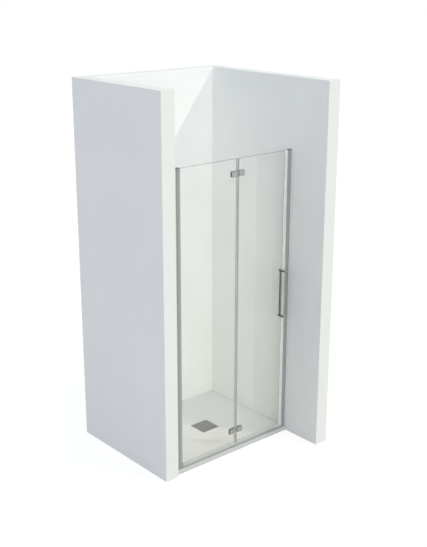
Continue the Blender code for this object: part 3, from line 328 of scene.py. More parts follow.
def new_piece(name, node, shell, material, holes=(), joined=()):
    """A finished piece that rides on its node's body and stands for the node.

    Joined shells are added to it and holes taken out, each a closed shell of its own. Its shading is
    smooth, and sharp where faces meet steeply.
    """
    piece = bpy.data.objects.new(name, make_mesh(name, shell))
    bpy.context.scene.collection.objects.link(piece)
    tools = []
    for operation, group in (("UNION", joined), ("DIFFERENCE", holes)):
        for part in group:
            tool = bpy.data.objects.new(name + "_tool", make_mesh(name + "_tool", part))
            bpy.context.scene.collection.objects.link(tool)
            change = piece.modifiers.new(operation.capitalize(), "BOOLEAN")
            change.operation = operation
            change.solver = "EXACT"
            change.object = tool
            tools.append(tool)
    if tools:
        bpy.context.view_layer.update()
        made = piece.evaluated_get(bpy.context.evaluated_depsgraph_get())
        plain = piece.data
        piece.data = bpy.data.meshes.new_from_object(made)
        piece.modifiers.clear()
        bpy.data.meshes.remove(plain)
        piece.data.name = name
        for tool_mesh in [tool.data for tool in tools]:
            bpy.data.meshes.remove(tool_mesh)
    mesh = piece.data
    if not mesh.polygons:
        raise RuntimeError(name + " came out empty")
    mesh.shade_smooth()
    mesh.set_sharp_from_angle(angle=SHARP_ANGLE)
    mesh.materials.clear()
    mesh.materials.append(material)
    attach(piece, BODY_OF[node])
    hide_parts(node)


def dress(material, *nodes):
    """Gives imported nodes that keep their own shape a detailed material."""
    for name in nodes:
        slots = frame["nodes"][name].material_slots
        if not slots:
            raise RuntimeError(name + " has no material slot")
        for place in slots:
            place.material = material


# Materials

def add_node(tree, kind, links=(), **values):
    """Adds a node to a tree, sets its named properties or inputs, and links outputs into its inputs."""
    node = tree.nodes.new(kind)
    for key, value in values.items():
        if hasattr(node, key):
            setattr(node, key, value)
        else:
            node.inputs[key].default_value = value
    for socket, source in dict(links).items():
        tree.links.new(source, node.inputs[socket])
    return node


class Recipe:
    """A node material under construction, on the piece's own Object coordinates."""

    def __init__(self, name, roughness, metallic=0.0):
        self.material = bpy.data.materials.new(name)
        self.material.use_nodes = True
        self.tree = self.material.node_tree
        self.shader = self.tree.nodes["Principled BSDF"]
        self.output = self.tree.nodes["Material Output"]
        self.place = self.tree.nodes.new("ShaderNodeTexCoord")
        self.shader.inputs["Roughness"].default_value = roughness
        self.shader.inputs["Metallic"].default_value = metallic

    def add(self, kind, links=(), **values):
        """Adds a node to the material."""
        return add_node(self.tree, kind, links, **values)

    def maths(self, operation, *terms):
        """Joins sockets and numbers by one operation."""
        made = self.add("ShaderNodeMath", operation=operation)
        for socket, term in zip(made.inputs, terms):
            if isinstance(term, bpy.types.NodeSocket):
                self.tree.links.new(term, socket)
            else:
                socket.default_value = term
        return made.outputs[0]

    def noise(self, scale, detail=2.0, stretch=(1.0, 1.0, 1.0), roughness=0.5):
        """Noise of a scale per metre; stretch makes it finer along each axis."""
        mapped = self.add("ShaderNodeMapping", {"Vector": self.place.outputs["Object"]}, Scale=stretch)
        place = {"Vector": mapped.outputs["Vector"]}
        made = self.add("ShaderNodeTexNoise", place, Scale=scale, Detail=detail, Roughness=roughness)
        return made.outputs["Fac"]

    def spread(self, factor, low, high, new_low=0.0, new_high=1.0):
        """Maps a factor from one range to another, clamped."""
        limits = {"From Min": low, "From Max": high, "To Min": new_low, "To Max": new_high}
        return self.add("ShaderNodeMapRange", {"Value": factor}, **limits).outputs["Result"]

    def blend(self, factor, first, second):
        """Mixes two colours, or a colour socket and a colour, by a factor."""
        made = self.add("ShaderNodeMix", {"Factor": factor}, data_type="RGBA")
        for socket, colour in ((made.inputs[6], first), (made.inputs[7], second)):
            if isinstance(colour, bpy.types.NodeSocket):
                self.tree.links.new(colour, socket)
            else:
                socket.default_value = (*colour, 1.0)
        return made.outputs[2]

    def colour(self, source):
        """Sends a colour to the shader."""
        self.tree.links.new(source, self.shader.inputs["Base Color"])

    def away_from(self, axis, centre):
        """Distance along one axis from a plane at centre."""
        parts = self.add("ShaderNodeSeparateXYZ", {"Vector": self.place.outputs["Object"]})
        return self.maths("ABSOLUTE", self.maths("SUBTRACT", parts.outputs[axis], centre))

    def roughness(self, factor, low, high):
        """Varies the roughness between two values."""
        self.tree.links.new(self.spread(factor, 0.3, 0.7, low, high), self.shader.inputs["Roughness"])

    def let_lamps_through(self, tint):
        """Makes the surface a clear tinted pane for lamp rays, so that the sun lights what is behind it."""
        ray = self.add("ShaderNodeLightPath")
        through = self.add("ShaderNodeBsdfTransparent", Color=(*tint, 1.0))
        links = {0: ray.outputs["Is Shadow Ray"], 1: self.shader.outputs[0], 2: through.outputs[0]}
        mixed = self.add("ShaderNodeMixShader", links)
        self.tree.links.new(mixed.outputs[0], self.output.inputs["Surface"])

    def bump(self, height, strength, distance):
        """Adds fine relief; a second call is laid on the first."""
        made = self.add("ShaderNodeBump", {"Height": height}, Strength=strength, Distance=distance)
        socket = self.shader.inputs["Normal"]
        if socket.is_linked:
            self.tree.links.new(socket.links[0].from_socket, made.inputs["Normal"])
        self.tree.links.new(made.outputs["Normal"], socket)


def shaded(colour, share):
    """The colour times a share: one for all of it, or one each for red, green and blue."""
    return tuple(np.asarray(colour) * share)


def plaster(name, colour, front=None):
    """Fine matt plaster: broad clouds of tone, a faint roller stipple and small trowel waves.

    A wall whose end stands at y = front has painted shade on that end: a little darker than its faces.
    """
    made = Recipe(name, 0.82)
    clouds = made.noise(1.7, 4.0, roughness=0.6)
    stipple = made.noise(420.0, 2.0)
    waves = made.noise(9.0, 3.0)
    tone = made.blend(made.spread(clouds, 0.35, 0.65), shaded(colour, 0.975), shaded(colour, 1.012))
    tone = made.blend(made.spread(stipple, 0.62, 0.8, 0.0, 0.35), tone, shaded(colour, 0.93))
    if front is not None:
        # Painted shade on the wall's end: darker than its faces, and a little warmer.
        beyond = made.spread(made.away_from("Y", front), 0.0002, 0.0016)
        tone = made.blend(beyond, shaded(colour, END_SHADE_SHARE), tone)
    made.colour(tone)
    made.roughness(waves, 0.76, 0.90)
    made.bump(stipple, 0.10, 0.0005)
    made.bump(waves, 0.05, 0.002)
    return made.material


def tray_resin(name, colour, front):
    """Cast mineral resin: a fine pitted skin, pale mineral specks and soft clouds.

    Painted shade: the front face at y = front and its lip outside the door are darker than the top, and the
    top is a little darker at the front and pales to the back.
    """
    made = Recipe(name, 0.5)
    clouds = made.noise(5.0, 3.0)
    grain = made.noise(900.0, 2.0)
    pits = made.noise(260.0, 3.0, roughness=0.7)
    tone = made.blend(made.spread(clouds, 0.3, 0.7), shaded(colour, 0.985), shaded(colour, 1.015))
    tone = made.blend(made.spread(grain, 0.6, 0.75, 0.0, 0.5), tone, shaded(colour, 0.90))
    # Painted shade: darker towards the front of the top, and darker still on the front face and lip.
    depth = made.away_from("Y", front)
    tone = made.blend(made.spread(depth, 0.10, 0.50), shaded(colour, 0.95), tone)
    made.colour(made.blend(made.spread(depth, 0.010, 0.014), shaded(colour, LIP_SHADE_SHARE), tone))
    made.roughness(pits, 0.44, 0.60)
    made.bump(pits, 0.12, 0.0006)
    made.bump(grain, 0.08, 0.0002)
    return made.material


def drawn_metal(name, colour, roughness, grain, depth=0.06, metallic=1.0, shaded_flanks=(), dark=FLANK_SHADE_SHARE):
    """Satin metal with fine lines along one axis: noise squeezed across the lines, and a slow change of tone.

    The flanks carry painted shade: they are darker than the brushed faces. Each entry is an axis, a plane and
    two
    distances from it: painted shade at the first, plain at the second. A place has painted shade where all
    entries say so.
    """
    made = Recipe(name, roughness, metallic)
    stretch = tuple(4.0 if axis == grain else 900.0 for axis in "XYZ")
    lines = made.noise(1.0, 3.0, stretch, 0.65)
    handling = made.noise(14.0, 3.0)
    tone = made.blend(made.spread(lines, 0.3, 0.7), shaded(colour, 0.93), shaded(colour, 1.07))
    tone = made.blend(made.spread(handling, 0.35, 0.7, 0.0, 0.4), tone, shaded(colour, 0.95))
    # Painted shade on the flanks.
    if shaded_flanks:
        face, *more = [made.spread(made.away_from(axis, plane), *ends) for axis, plane, *ends in shaded_flanks]
        for other in more:
            face = made.maths("MAXIMUM", face, other)
        tone = made.blend(face, shaded(colour, dark), tone)
    made.colour(tone)
    made.roughness(lines, roughness * 0.85, roughness * 1.2)
    made.bump(lines, depth, 0.0002)
    return made.material


def anodised(name, colour, grain, shaded_flanks=()):
    """Brushed aluminium under a satin oxide skin, which looks half metallic."""
    return drawn_metal(name, colour, 0.42, grain, metallic=0.55, shaded_flanks=shaded_flanks)


def blasted_steel(name, colour):
    """Blasted steel: close mottling of light and dark grains over broader blotches."""
    made = Recipe(name, 0.45, 1.0)
    grains = made.noise(240.0, 4.0, roughness=0.8)
    blotches = made.noise(110.0, 3.0)
    mottled = made.blend(made.spread(grains, 0.40, 0.60), shaded(colour, 0.55), shaded(colour, 1.42))
    made.colour(made.blend(made.spread(blotches, 0.35, 0.7, 0.0, 0.5), mottled, shaded(colour, 0.80)))
    made.roughness(grains, 0.38, 0.58)
    made.bump(grains, 0.25, 0.0003)
    return made.material


def seal_plastic(name, colour, grain, roughness, transmission=0.0, fine=700.0):
    """Extruded seal: die lines along its length, slightly cloudy."""
    made = Recipe(name, roughness)
    made.shader.inputs["Transmission Weight"].default_value = transmission
    made.shader.inputs["IOR"].default_value = 1.45
    stretch = tuple(3.0 if axis == grain else fine for axis in "XYZ")
    lines = made.noise(1.0, 2.0, stretch)
    clouds = made.noise(18.0, 3.0)
    tone = made.blend(made.spread(clouds, 0.3, 0.7), shaded(colour, 0.94), shaded(colour, 1.05))
    made.colour(made.blend(made.spread(lines, 0.5, 0.8, 0.0, 0.5), tone, shaded(colour, 0.88)))
    made.roughness(lines, roughness * 0.85, min(roughness * 1.25, 1.0))
    made.bump(lines, 0.10, 0.0002)
    return made.material


def clear_glass(name, tint, edge_tint, node):
    """Toughened glass: nearly clear through its faces, green-grey within a millimetre of its ground edges.

    The distance to the edge is half the sheet's size less the distance from its middle, for width and height.
    """
    made = Recipe(name, 0.0)
    made.shader.inputs["Transmission Weight"].default_value = 1.0
    made.shader.inputs["IOR"].default_value = 1.36
    distances = []
    for label, (low, high) in (("X", span(node, 0)), ("Z", span(node))):
        distances.append(made.maths("SUBTRACT", (high - low) / 2, made.away_from(label, (low + high) / 2)))
    at_edge = made.spread(made.maths("MINIMUM", *distances), 0.0004, 0.0012, 1.0, 0.0)
    made.colour(made.blend(at_edge, tint, edge_tint))
    smears = made.noise(6.0, 4.0)
    made.tree.links.new(made.spread(smears, 0.55, 0.85, 0.0, 0.03), made.shader.inputs["Roughness"])
    made.let_lamps_through(tint)
    return made.material


# Settings

SURFACE = {"min": 0.0, "max": 1.0}
LIGHT = {"min": 0.0, "max": 5.0}


class ShowerFinishes(PropertyGroup):
    """Colours and edge sizes that a user would change."""

    plaster: FloatVectorProperty(
        name="Plaster", description="Colour of the walls",
        subtype="COLOR", default=(0.93, 0.94, 0.935), **SURFACE,
    )
    resin: FloatVectorProperty(
        name="Tray resin", description="Colour of the shower tray",
        subtype="COLOR", default=(0.82, 0.82, 0.832), **SURFACE,
    )
    aluminium: FloatVectorProperty(
        name="Aluminium", description="Colour of the jambs, profile and caps",
        subtype="COLOR", default=(0.36, 0.385, 0.37), **SURFACE,
    )
    steel: FloatVectorProperty(
        name="Steel", description="Colour of the hinges and handle",
        subtype="COLOR", default=(0.40, 0.43, 0.41), **SURFACE,
    )
    cover_steel: FloatVectorProperty(
        name="Drain cover", description="Colour of the blasted drain cover",
        subtype="COLOR", default=(0.325, 0.325, 0.317), **SURFACE,
    )
    glass: FloatVectorProperty(
        name="Glass", description="Tint of the glass through its faces",
        subtype="COLOR", default=(0.990, 0.998, 0.992), **SURFACE,
    )
    glass_edge: FloatVectorProperty(
        name="Glass edge", description="Tint of the glass at its edges",
        subtype="COLOR", default=(0.07, 0.10, 0.085), **SURFACE,
    )
    magnet_seal: FloatVectorProperty(
        name="Magnetic seals", description="Colour of the milky magnetic seals",
        subtype="COLOR", default=(0.80, 0.82, 0.80), **SURFACE,
    )
    fold_seal: FloatVectorProperty(
        name="Fold seals", description="Colour of the seals between the leaves",
        subtype="COLOR", default=(0.76, 0.77, 0.74), **SURFACE,
    )
    bottom_seal: FloatVectorProperty(
        name="Bottom seals", description="Colour of the seals under the leaves",
        subtype="COLOR", default=(0.86, 0.87, 0.84), **SURFACE,
    )
    rubber: FloatVectorProperty(
        name="Rubber", description="Colour of the gaskets and bulb seal",
        subtype="COLOR", default=(0.20, 0.21, 0.21), **SURFACE,
    )
    wall_arris: FloatProperty(
        name="Wall arris", description="Radius of the walls' edges", unit="LENGTH",
        min=0.0005, max=0.01, default=0.0015,
    )
    plate_arris: FloatProperty(
        name="Plate arris", description="Radius of the hinge plates' edges", unit="LENGTH",
        min=0.0002, max=0.002, default=0.0008,
    )
    handle_edge: FloatProperty(
        name="Handle edge", description="Radius along the handle bar's edges", unit="LENGTH",
        min=0.0002, max=0.003, default=0.0010,
    )


class ShowerStage(PropertyGroup):
    """Light and floor values that a user would change."""

    sun: FloatProperty(
        name="Sun", description="Strength of the crisp key light", min=0.0, max=10.0, default=0.75
    )
    all_round: FloatVectorProperty(
        name="All round", description="Soft light from everywhere",
        subtype="COLOR", default=(0.455, 0.487, 0.575), **LIGHT,
    )
    from_front: FloatVectorProperty(
        name="From the front", description="Soft level light at the door",
        subtype="COLOR", default=(1.57, 1.57, 1.43), **LIGHT,
    )
    from_above: FloatVectorProperty(
        name="From above", description="Soft light into the open top",
        subtype="COLOR", default=(0.86, 0.85, 0.68), **LIGHT,
    )
    floor_radius: FloatProperty(
        name="Floor radius", description="Radius of the pale floor", unit="LENGTH",
        min=5.0, max=200.0, default=60.0,
    )


# Walls

class SHOWER_OT_walls(Operator):
    """Build the two side walls and the back wall"""

    bl_idname = "shower.walls"
    bl_label = "Walls"

    def execute(self, context):
        finishes = context.scene.shower_finishes
        for name in ("left_wall", "right_wall", "back_wall"):
            low, high = corners_of(name)
            front = None if name == "back_wall" else low[1]
            material = plaster(name + "_plaster", finishes.plaster, front)
            shell = block(low, high, finishes.wall_arris, finishes.wall_arris, steps=3)
            new_piece(name + "_plastered", name, shell, material)
        return {"FINISHED"}


# Tray

def tray_shell(low, high):
    """The tray: rounded-rectangle loops up its side, over the rim, down the falls and out by the waste.

    The falls go in straight lines from the rim's rectangle to the drain pocket's square. The waste hole is
    a rounded rectangle whose corners meet. The stack closes on itself under the tray.
    """
    edge, corner = 0.0020, 0.004
    side_rim, front_rim, rim_corner = 0.030, 0.070, 0.020
    fall, pocket_depth = 0.008, 0.012
    pocket, pocket_corner, pocket_edge = 0.073, 0.003, 0.0008
    top = high[2]
    level = top - fall
    floor = level - pocket_depth
    middle, outer = (low + high)[:2] / 2, (high - low)[:2] / 2
    rim_low = np.array([LEFT_FACE + side_rim, low[1] + front_rim])
    rim_high = np.array([RIGHT_FACE, span("back_wall", 1)[0]]) - side_rim
    rim_middle, rim = (rim_low + rim_high) / 2, (rim_high - rim_low) / 2
    drain, square = DRAIN[:2], np.ones(2)
    inset, rise = quarter_round(edge, 5)
    stack = [(middle, outer - i, corner - i, height) for i, height in zip(inset, rise)]
    stack += [(middle, outer - i, corner - i, height) for i, height in zip(inset[::-1], top - rise[::-1])]
    stack.append((middle, outer - edge - GUARD, corner - edge, top))
    # Shares of the way to the drain, and how far the surface has dropped there
    soft_start = ((-0.012, 0.0), (0.0, 0.00008), (0.012, 0.00024), (0.03, 0.00024))
    falls = [(share, drop, rim_corner) for share, drop in soft_start]
    for share in (0.25, 0.5, 0.75, 0.985):
        falls.append((share, fall * share, rim_corner + (corner - rim_corner) * share))
    for share, drop, radius in falls:
        centre = rim_middle + (drain - rim_middle) * share
        stack.append((centre, rim + (pocket - rim) * share, radius, top - drop))
    inset, rise = quarter_round(pocket_edge, 4)
    stack += [(drain, square * (pocket + i), pocket_corner + i, level - r) for i, r in zip(inset, rise)]
    stack += [(drain, square * (pocket - r), pocket_corner - r, floor + i) for i, r in zip(inset, rise)]
    for grown, height in ((0.0006, floor), (0.0002, floor - 0.0002), (0.0, floor - 0.0006), (0.0, 0.0)):
        reach = WASTE_RADIUS + grown
        stack.append((drain, square * reach, reach - WELD, height))
    return skin([ring(*station, steps=10) for station in stack], closed=True)


class SHOWER_OT_tray(Operator):
    """Build the resin tray with its falls and drain pocket"""

    bl_idname = "shower.tray"
    bl_label = "Tray"

    def execute(self, context):
        low, high = corners_of("shower_tray")
        material = tray_resin("mineral_resin", context.scene.shower_finishes.resin, low[1])
        new_piece("cast_tray", "shower_tray", tray_shell(low, high), material)
        return {"FINISHED"}


# Drain

class SHOWER_OT_drain(Operator):
    """Build the waste flange, its gasket and the lift-out drain cover"""

    bl_idname = "shower.drain"
    bl_label = "Drain"

    def execute(self, context):
        finishes = context.scene.shower_finishes
        steel = drawn_metal("waste_steel", finishes.steel, 0.28, "X")
        low, high = corners_of("waste_flange")
        rim, top = (high[0] - low[0]) / 2, high[2]
        tube, bore, ledge, edge, fine = 0.0447, 0.0417, 0.0367, 0.0006, 0.0003
        under, seat, seat_under = top - 0.0022, top - 0.003, top - 0.006
        points = [
            (low[2], bore), (low[2], tube), (under, tube), (under, rim), (top, rim),
            (top, bore), (seat, bore), (seat, ledge), (seat_under, ledge), (seat_under, bore),
        ]
        radii = [fine, fine, fine, edge, edge, edge, fine, 0.0004, 0.0004, fine]
        flange = turned(outline(points, radii, 3), DRAIN, closed=True, count=RIM_POINTS)
        new_piece("turned_waste_flange", "waste_flange", flange, steel)
        rubber = seal_plastic("black_rubber", finishes.rubber, "X", roughness=0.6)
        low, high = corners_of("waste_gasket")
        rim = (high[0] - low[0]) / 2
        gasket = sleeve(low[2], high[2], WASTE_RADIUS, rim, fine, DRAIN, RIM_POINTS)
        new_piece("moulded_waste_gasket", "waste_gasket", gasket, rubber)
        dress(steel, "hair_strainer")
        low, high = corners_of("drain_cover")
        sheet, foot_inset, foot_radius = 0.003, 0.012, 0.0050
        plate = block((*low[:2], high[2] - sheet), high, corner=0.0020, edge=0.0008)
        reach = (high[0] - low[0]) / 2 - foot_inset
        bevel = ((0.0, 0.0008), (0.0003, 0.0003), (0.0008, 0.0))
        foot = [(low[2] + rise, foot_radius - inset) for rise, inset in bevel]
        foot.append((high[2] - sheet / 2, foot_radius))
        feet = [turned(foot, DRAIN + (x, y, 0.0)) for x in (-reach, reach) for y in (-reach, reach)]
        cover = blasted_steel("blasted_cover_steel", finishes.cover_steel)
        new_piece("blasted_drain_cover", "drain_cover", plate, cover, joined=feet)
        return {"FINISHED"}


# Frame at the walls

def frame_side(side):
    """Wall face, jamb standoff and jamb face; side is 1 at the hinge and -1 at the strike."""
    wall, standoff = (LEFT_FACE, 0.005) if side == 1 else (RIGHT_FACE, 0.002)
    return wall, standoff, standoff + JAMB_WIDTH


def at_wall(points, side):
    """Moves an outline drawn from the wall outwards to its place beside the door's middle plane."""
    return np.asarray(points) * (side, 1) + (frame_side(side)[0], DOOR_Y)


def jamb_shell(side):
    """The jamb's hollow section with its T-slot, carried from the tray to the cap."""
    _, standoff, face = frame_side(side)
    half, inner = JAMB_HALF, 0.0084
    neck, chamber = face - 0.0012, face - 0.0032
    points, radii = both_sides(
        [
            (face - JAMB_HOLLOW, inner), (standoff, inner), (standoff, half), (face, half), (face, 0.0013),
            (neck, 0.0013), (neck, 0.0025), (chamber, 0.0025),
        ],
        [0.0004, 0.0003, 0.0003, 0.0008, 0.0002, 0.0001, 0.0001, 0.0001],
    )
    return extrusion(at_wall(outline(points, radii), side), FRAME_LOW, FRAME_HIGH)


def cap_shells(node, side):
    """Cap plate with softly rounded edges, and the plug below it that drops into the profile."""
    low, high = corners_of(node)
    wall, _, face = frame_side(side)
    underside, plug_half, overlap = high[2] - 0.004, 0.0063, 0.0005
    plate = block((*low[:2], underside), high, corner=0.0015, edge=0.0006)
    start, end = sorted((wall + side * WEB_FACE, wall + side * (face - JAMB_HOLLOW - FIT)))
    bottom, top = (start, DOOR_Y - plug_half, low[2]), (end, DOOR_Y + plug_half, underside + overlap)
    plug = block(bottom, top, corner=0.0005, edge=0.0003)
    return plate, plug


class SHOWER_OT_frame(Operator):
    """Build the jambs, their caps and the threshold strip"""

    bl_idname = "shower.frame"
    bl_label = "Frame"

    def execute(self, context):
        colour = context.scene.shower_finishes.aluminium
        upright = anodised("anodised_upright", colour, "Z")
        # The strike jamb's aluminium is a lighter copy: painted light.
        for node, side, share in (("hinge_jamb", 1, 1.0), ("strike_jamb", -1, 1.16)):
            metal = anodised(node + "_aluminium", shaded(colour, share), "Z")
            new_piece("drawn_" + node, node, jamb_shell(side), metal)
        # The threshold strip's aluminium is a lighter copy: painted light.
        hole_depth, cap_share, strip_light_share = 0.006, 0.45, 1.75
        pin_hole = drilled(FRAME_HIGH, FRAME_HIGH + hole_depth, PIN_BORE, PIVOT)
        cap = anodised("cap_aluminium", shaded(colour, cap_share), "X")
        for node, side, holes in (("upper_pivot_plate", 1, [pin_hole]), ("strike_top_cap", -1, [])):
            plate, plug = cap_shells(node, side)
            new_piece("capped_" + node, node, plate, cap, holes, [plug])
        dress(upright, "hinge_wall_channel", "strike_wall_channel")
        low, high = corners_of("threshold_strip")
        front, back, height = low[1], high[1], high[2] - low[2]
        middle = (front + back) / 2
        brow = ellipse_arc((middle, low[2]), ((back - front) / 2, height), 90.0, 180.0, 20)
        lip, edge = 0.0015, 0.0002
        heel = outline([(back, low[2]), (back, low[2] + lip), (middle, high[2]), (front, low[2])], edge)
        section = np.vstack([[(front, low[2])], heel[heel[:, 0] > middle + GUARD], brow[:-1]])
        strip = extrusion(section, low[0], high[0], axis="X")
        # Painted shade: the threshold strip is darker towards its foot.
        foot = [("Z", low[2], height * 0.45, height * 0.6)]
        pale = anodised("threshold_aluminium", shaded(colour, strip_light_share), "X", foot)
        new_piece("drawn_threshold_strip", "threshold_strip", strip, pale)
        return {"FINISHED"}


# Pivot side

class SHOWER_OT_pivots(Operator):
    """Build the round-nosed leaf profile and the pivots that it turns on"""

    bl_idname = "shower.pivots"
    bl_label = "Pivots"

    def execute(self, context):
        finishes = context.scene.shower_finishes
        upright = anodised("anodised_leaf_profile", finishes.aluminium, "Z")
        steel = drawn_metal("pivot_steel", finishes.steel, 0.25, "Z")
        plastic = seal_plastic("black_bush_plastic", BLACK_PLASTIC, "Z", roughness=0.5)
        nose, reach, slot_start, slot = 0.010, 0.015, 0.0064, 0.0045
        bush_bore, screw_bore, screw_depth, pin_depth = 0.0046, 0.0036, 0.0062, 0.014
        points, radii = both_sides(
            [(0.0, -nose), (reach, -nose), (reach, -slot), (slot_start, -slot)], [0.0, 0.0006, 0.0003, 0.0003]
        )
        far = outline(points, radii)
        round_side = ellipse_arc((0.0, 0.0), (nose, nose), 90.0, 270.0, 48)
        section = np.vstack([far[far[:, 0] > WELD], round_side]) + PIVOT[:2]
        holes = [drilled(LEAF_LOW - OVERRUN, LEAF_HIGH + OVERRUN, bush_bore, PIVOT)]
        for node in ("upper_clamp_screw", "lower_clamp_screw"):
            at_x, _, at_z = middle_of(node)
            holes.append(drilled(-OVERRUN, screw_depth, screw_bore, (at_x, DOOR_Y - nose, at_z), "Y"))
        shell = extrusion(section, LEAF_LOW, LEAF_HIGH)
        new_piece("drawn_leaf_profile", "leaf_hinge_profile", shell, upright, holes)
        low, high = corners_of("lower_pivot_block")
        hole = drilled(high[2] - pin_depth, high[2] + OVERRUN, PIN_BORE, PIVOT)
        shell = block(low, high, corner=0.007, edge=0.0008, steps=10)
        new_piece("milled_pivot_block", "lower_pivot_block", shell, upright, [hole])
        radius, chamfer = 0.0030, 0.0005
        for node in ("lower_pivot_pin", "upper_pivot_pin"):
            bottom, top = span(node)
            stations = [(bottom, radius - chamfer), (bottom + chamfer, radius)]
            stations += [(top - chamfer, radius), (top, radius - chamfer)]
            new_piece("turned_" + node, node, turned(stations, PIVOT), steel)
        for node in ("lower_pivot_bush", "upper_pivot_bush"):
            shell = sleeve(*span(node), PIN_BORE, bush_bore - FIT, 0.0002, PIVOT)
            new_piece("moulded_" + node, node, shell, plastic)
        return {"FINISHED"}


# Glass

class SHOWER_OT_glass(Operator):
    """Give the two sheets their clear glass with green-grey edges"""

    bl_idname = "shower.glass"
    bl_label = "Glass"

    def execute(self, context):
        finishes = context.scene.shower_finishes
        for node in ("left_glass", "right_glass"):
            dress(clear_glass(node + "_clear", finishes.glass, finishes.glass_edge, node), node)
        return {"FINISHED"}


# Seals

def seal_foot(face):
    """Half of the T-shaped foot that clips into a jamb's slot."""
    bottom, shoulder, foot, neck = face - 0.0029, face - 0.0015, 0.0022, 0.0010
    return [(bottom, foot), (shoulder, foot), (shoulder, neck), (face + FIT, neck)]


def bulb_seal_shell():
    """T-foot with a half-elliptic bulb that the round nose runs on."""
    face = frame_side(1)[2]
    foot = np.array(seal_foot(face))
    dome = ellipse_arc((face + FIT, 0.0), (0.0009, 0.0035), 90.0, -90.0, 24)
    section = np.vstack([foot, dome, foot[::-1] * (1, -1)])
    return extrusion(at_wall(section, 1), *span("hinge_bulb_seal"), 0.00003)


def strike_magnet_shell():
    """T-foot with a rounded rectangular magnet pocket."""
    face = frame_side(-1)[2]
    pocket = [(face + FIT, MAGNET_HALF), (face + 0.008, MAGNET_HALF)]
    points, radii = both_sides(seal_foot(face) + pocket, [0.0002, 0.0001, 0.0001, 0.0001, 0.0005, 0.0015])
    return extrusion(at_wall(outline(points, radii), -1), *span("strike_magnet_seal"))


def leaf_magnet_shell():
    """Flanges over the glass edge that widen into the facing magnet pocket."""
    edge = span("right_glass", 0)[1]
    front = span("leaf_magnet_seal", 0)[1] - edge
    lap, shoulder = 0.006, 0.0015
    flange = [(FIT, SEAL_INSIDE), (-lap, SEAL_INSIDE), (-lap, SEAL_OUTSIDE), (shoulder, SEAL_OUTSIDE)]
    pocket = [(shoulder + MAGNET_HALF - SEAL_OUTSIDE, MAGNET_HALF), (front, MAGNET_HALF)]
    points, radii = both_sides(flange + pocket, [0.0001, 0.0002, 0.0004, 0.0008, 0.0008, 0.0015])
    return extrusion(outline(points, radii) + (edge, DOOR_Y), *span("leaf_magnet_seal"))


def fold_seal_shell(side):
    """Round-nosed bulb with thin flanges over the folding edge of one sheet."""
    seat, end, outer = 0.0057, 0.011, SEAL_OUTSIDE
    nose_end, chamfer = seat - 0.0012, 0.0003
    nose = ellipse_arc((nose_end, 0.0), (nose_end - FIT, outer), 180.0, 90.0, 16)
    flange = [(end - chamfer, outer), (end, outer - chamfer), (end, SEAL_INSIDE), (seat, SEAL_INSIDE)]
    half = np.vstack([nose[1:], flange])
    section = np.vstack([nose[:1], half, half[::-1] * (1, -1)])
    return extrusion(section * (side, 1) + (FOLD[0], DOOR_Y), LEAF_LOW, LEAF_HIGH, 0.0002)


def fold_seal_notches(side):
    """Spaces that the hinge plates take out of a fold seal."""
    from_fold, beyond_seal = 0.0064, 0.012
    near, far = sorted((FOLD[0] + side * from_fold, FOLD[0] + side * beyond_seal))
    reach, half = SEAL_OUTSIDE + FIT, PLATE_HALF + FIT
    notches = []
    for label in ("upper", "lower"):
        height = middle_of(label + "_hinge_pin")[2]
        bottom, top = (near, DOOR_Y - reach, height - half), (far, DOOR_Y + reach, height + half)
        notches.append(block(bottom, top, corner=ARRIS, edge=ARRIS))
    return notches


def bottom_seal_shell(node):
    """U-shaped clip with an upright wiper and a slanting drip lip on the shower side."""
    low, high = corners_of(node)
    inner, outer, wiper = SEAL_INSIDE, SEAL_OUTSIDE, 0.0005
    crown, seat, under, lip = 0.008, -0.0003, -0.0015, 0.0010
    tip, drip = low[2] - LEAF_LOW, (outer + 0.006, under - 0.005)
    points = [
        (-outer, crown), (-inner, crown), (-inner, seat), (inner, seat), (inner, crown), (outer, crown),
        (outer, under + lip), (drip[0], drip[1] + lip), drip, (inner, under),
        (wiper, under), (wiper, tip), (-wiper, tip), (-wiper, under), (-outer, under),
    ]
    radii = [0.0003, 0.0001, 0.0002, 0.0002, 0.0001, 0.0003, 0.0004, 0.0003, 0.0003, 0.0004, 0.0003, 0.0003,
             0.0003, 0.0003, 0.0006]
    return extrusion(outline(points, radii) + (DOOR_Y, LEAF_LOW), low[0], high[0], axis="X")


def gasket_shell():
    """Channel-shaped glazing gasket between the leaf profile and the glass."""
    base, top, end, outer = 0.0067, 0.0077, 0.0155, SEAL_OUTSIDE
    points, radii = both_sides([(top, SEAL_INSIDE), (end, SEAL_INSIDE), (end, outer), (base, outer)], 0.0002)
    return extrusion(outline(points, radii) + PIVOT[:2], *span("glazing_gasket"))


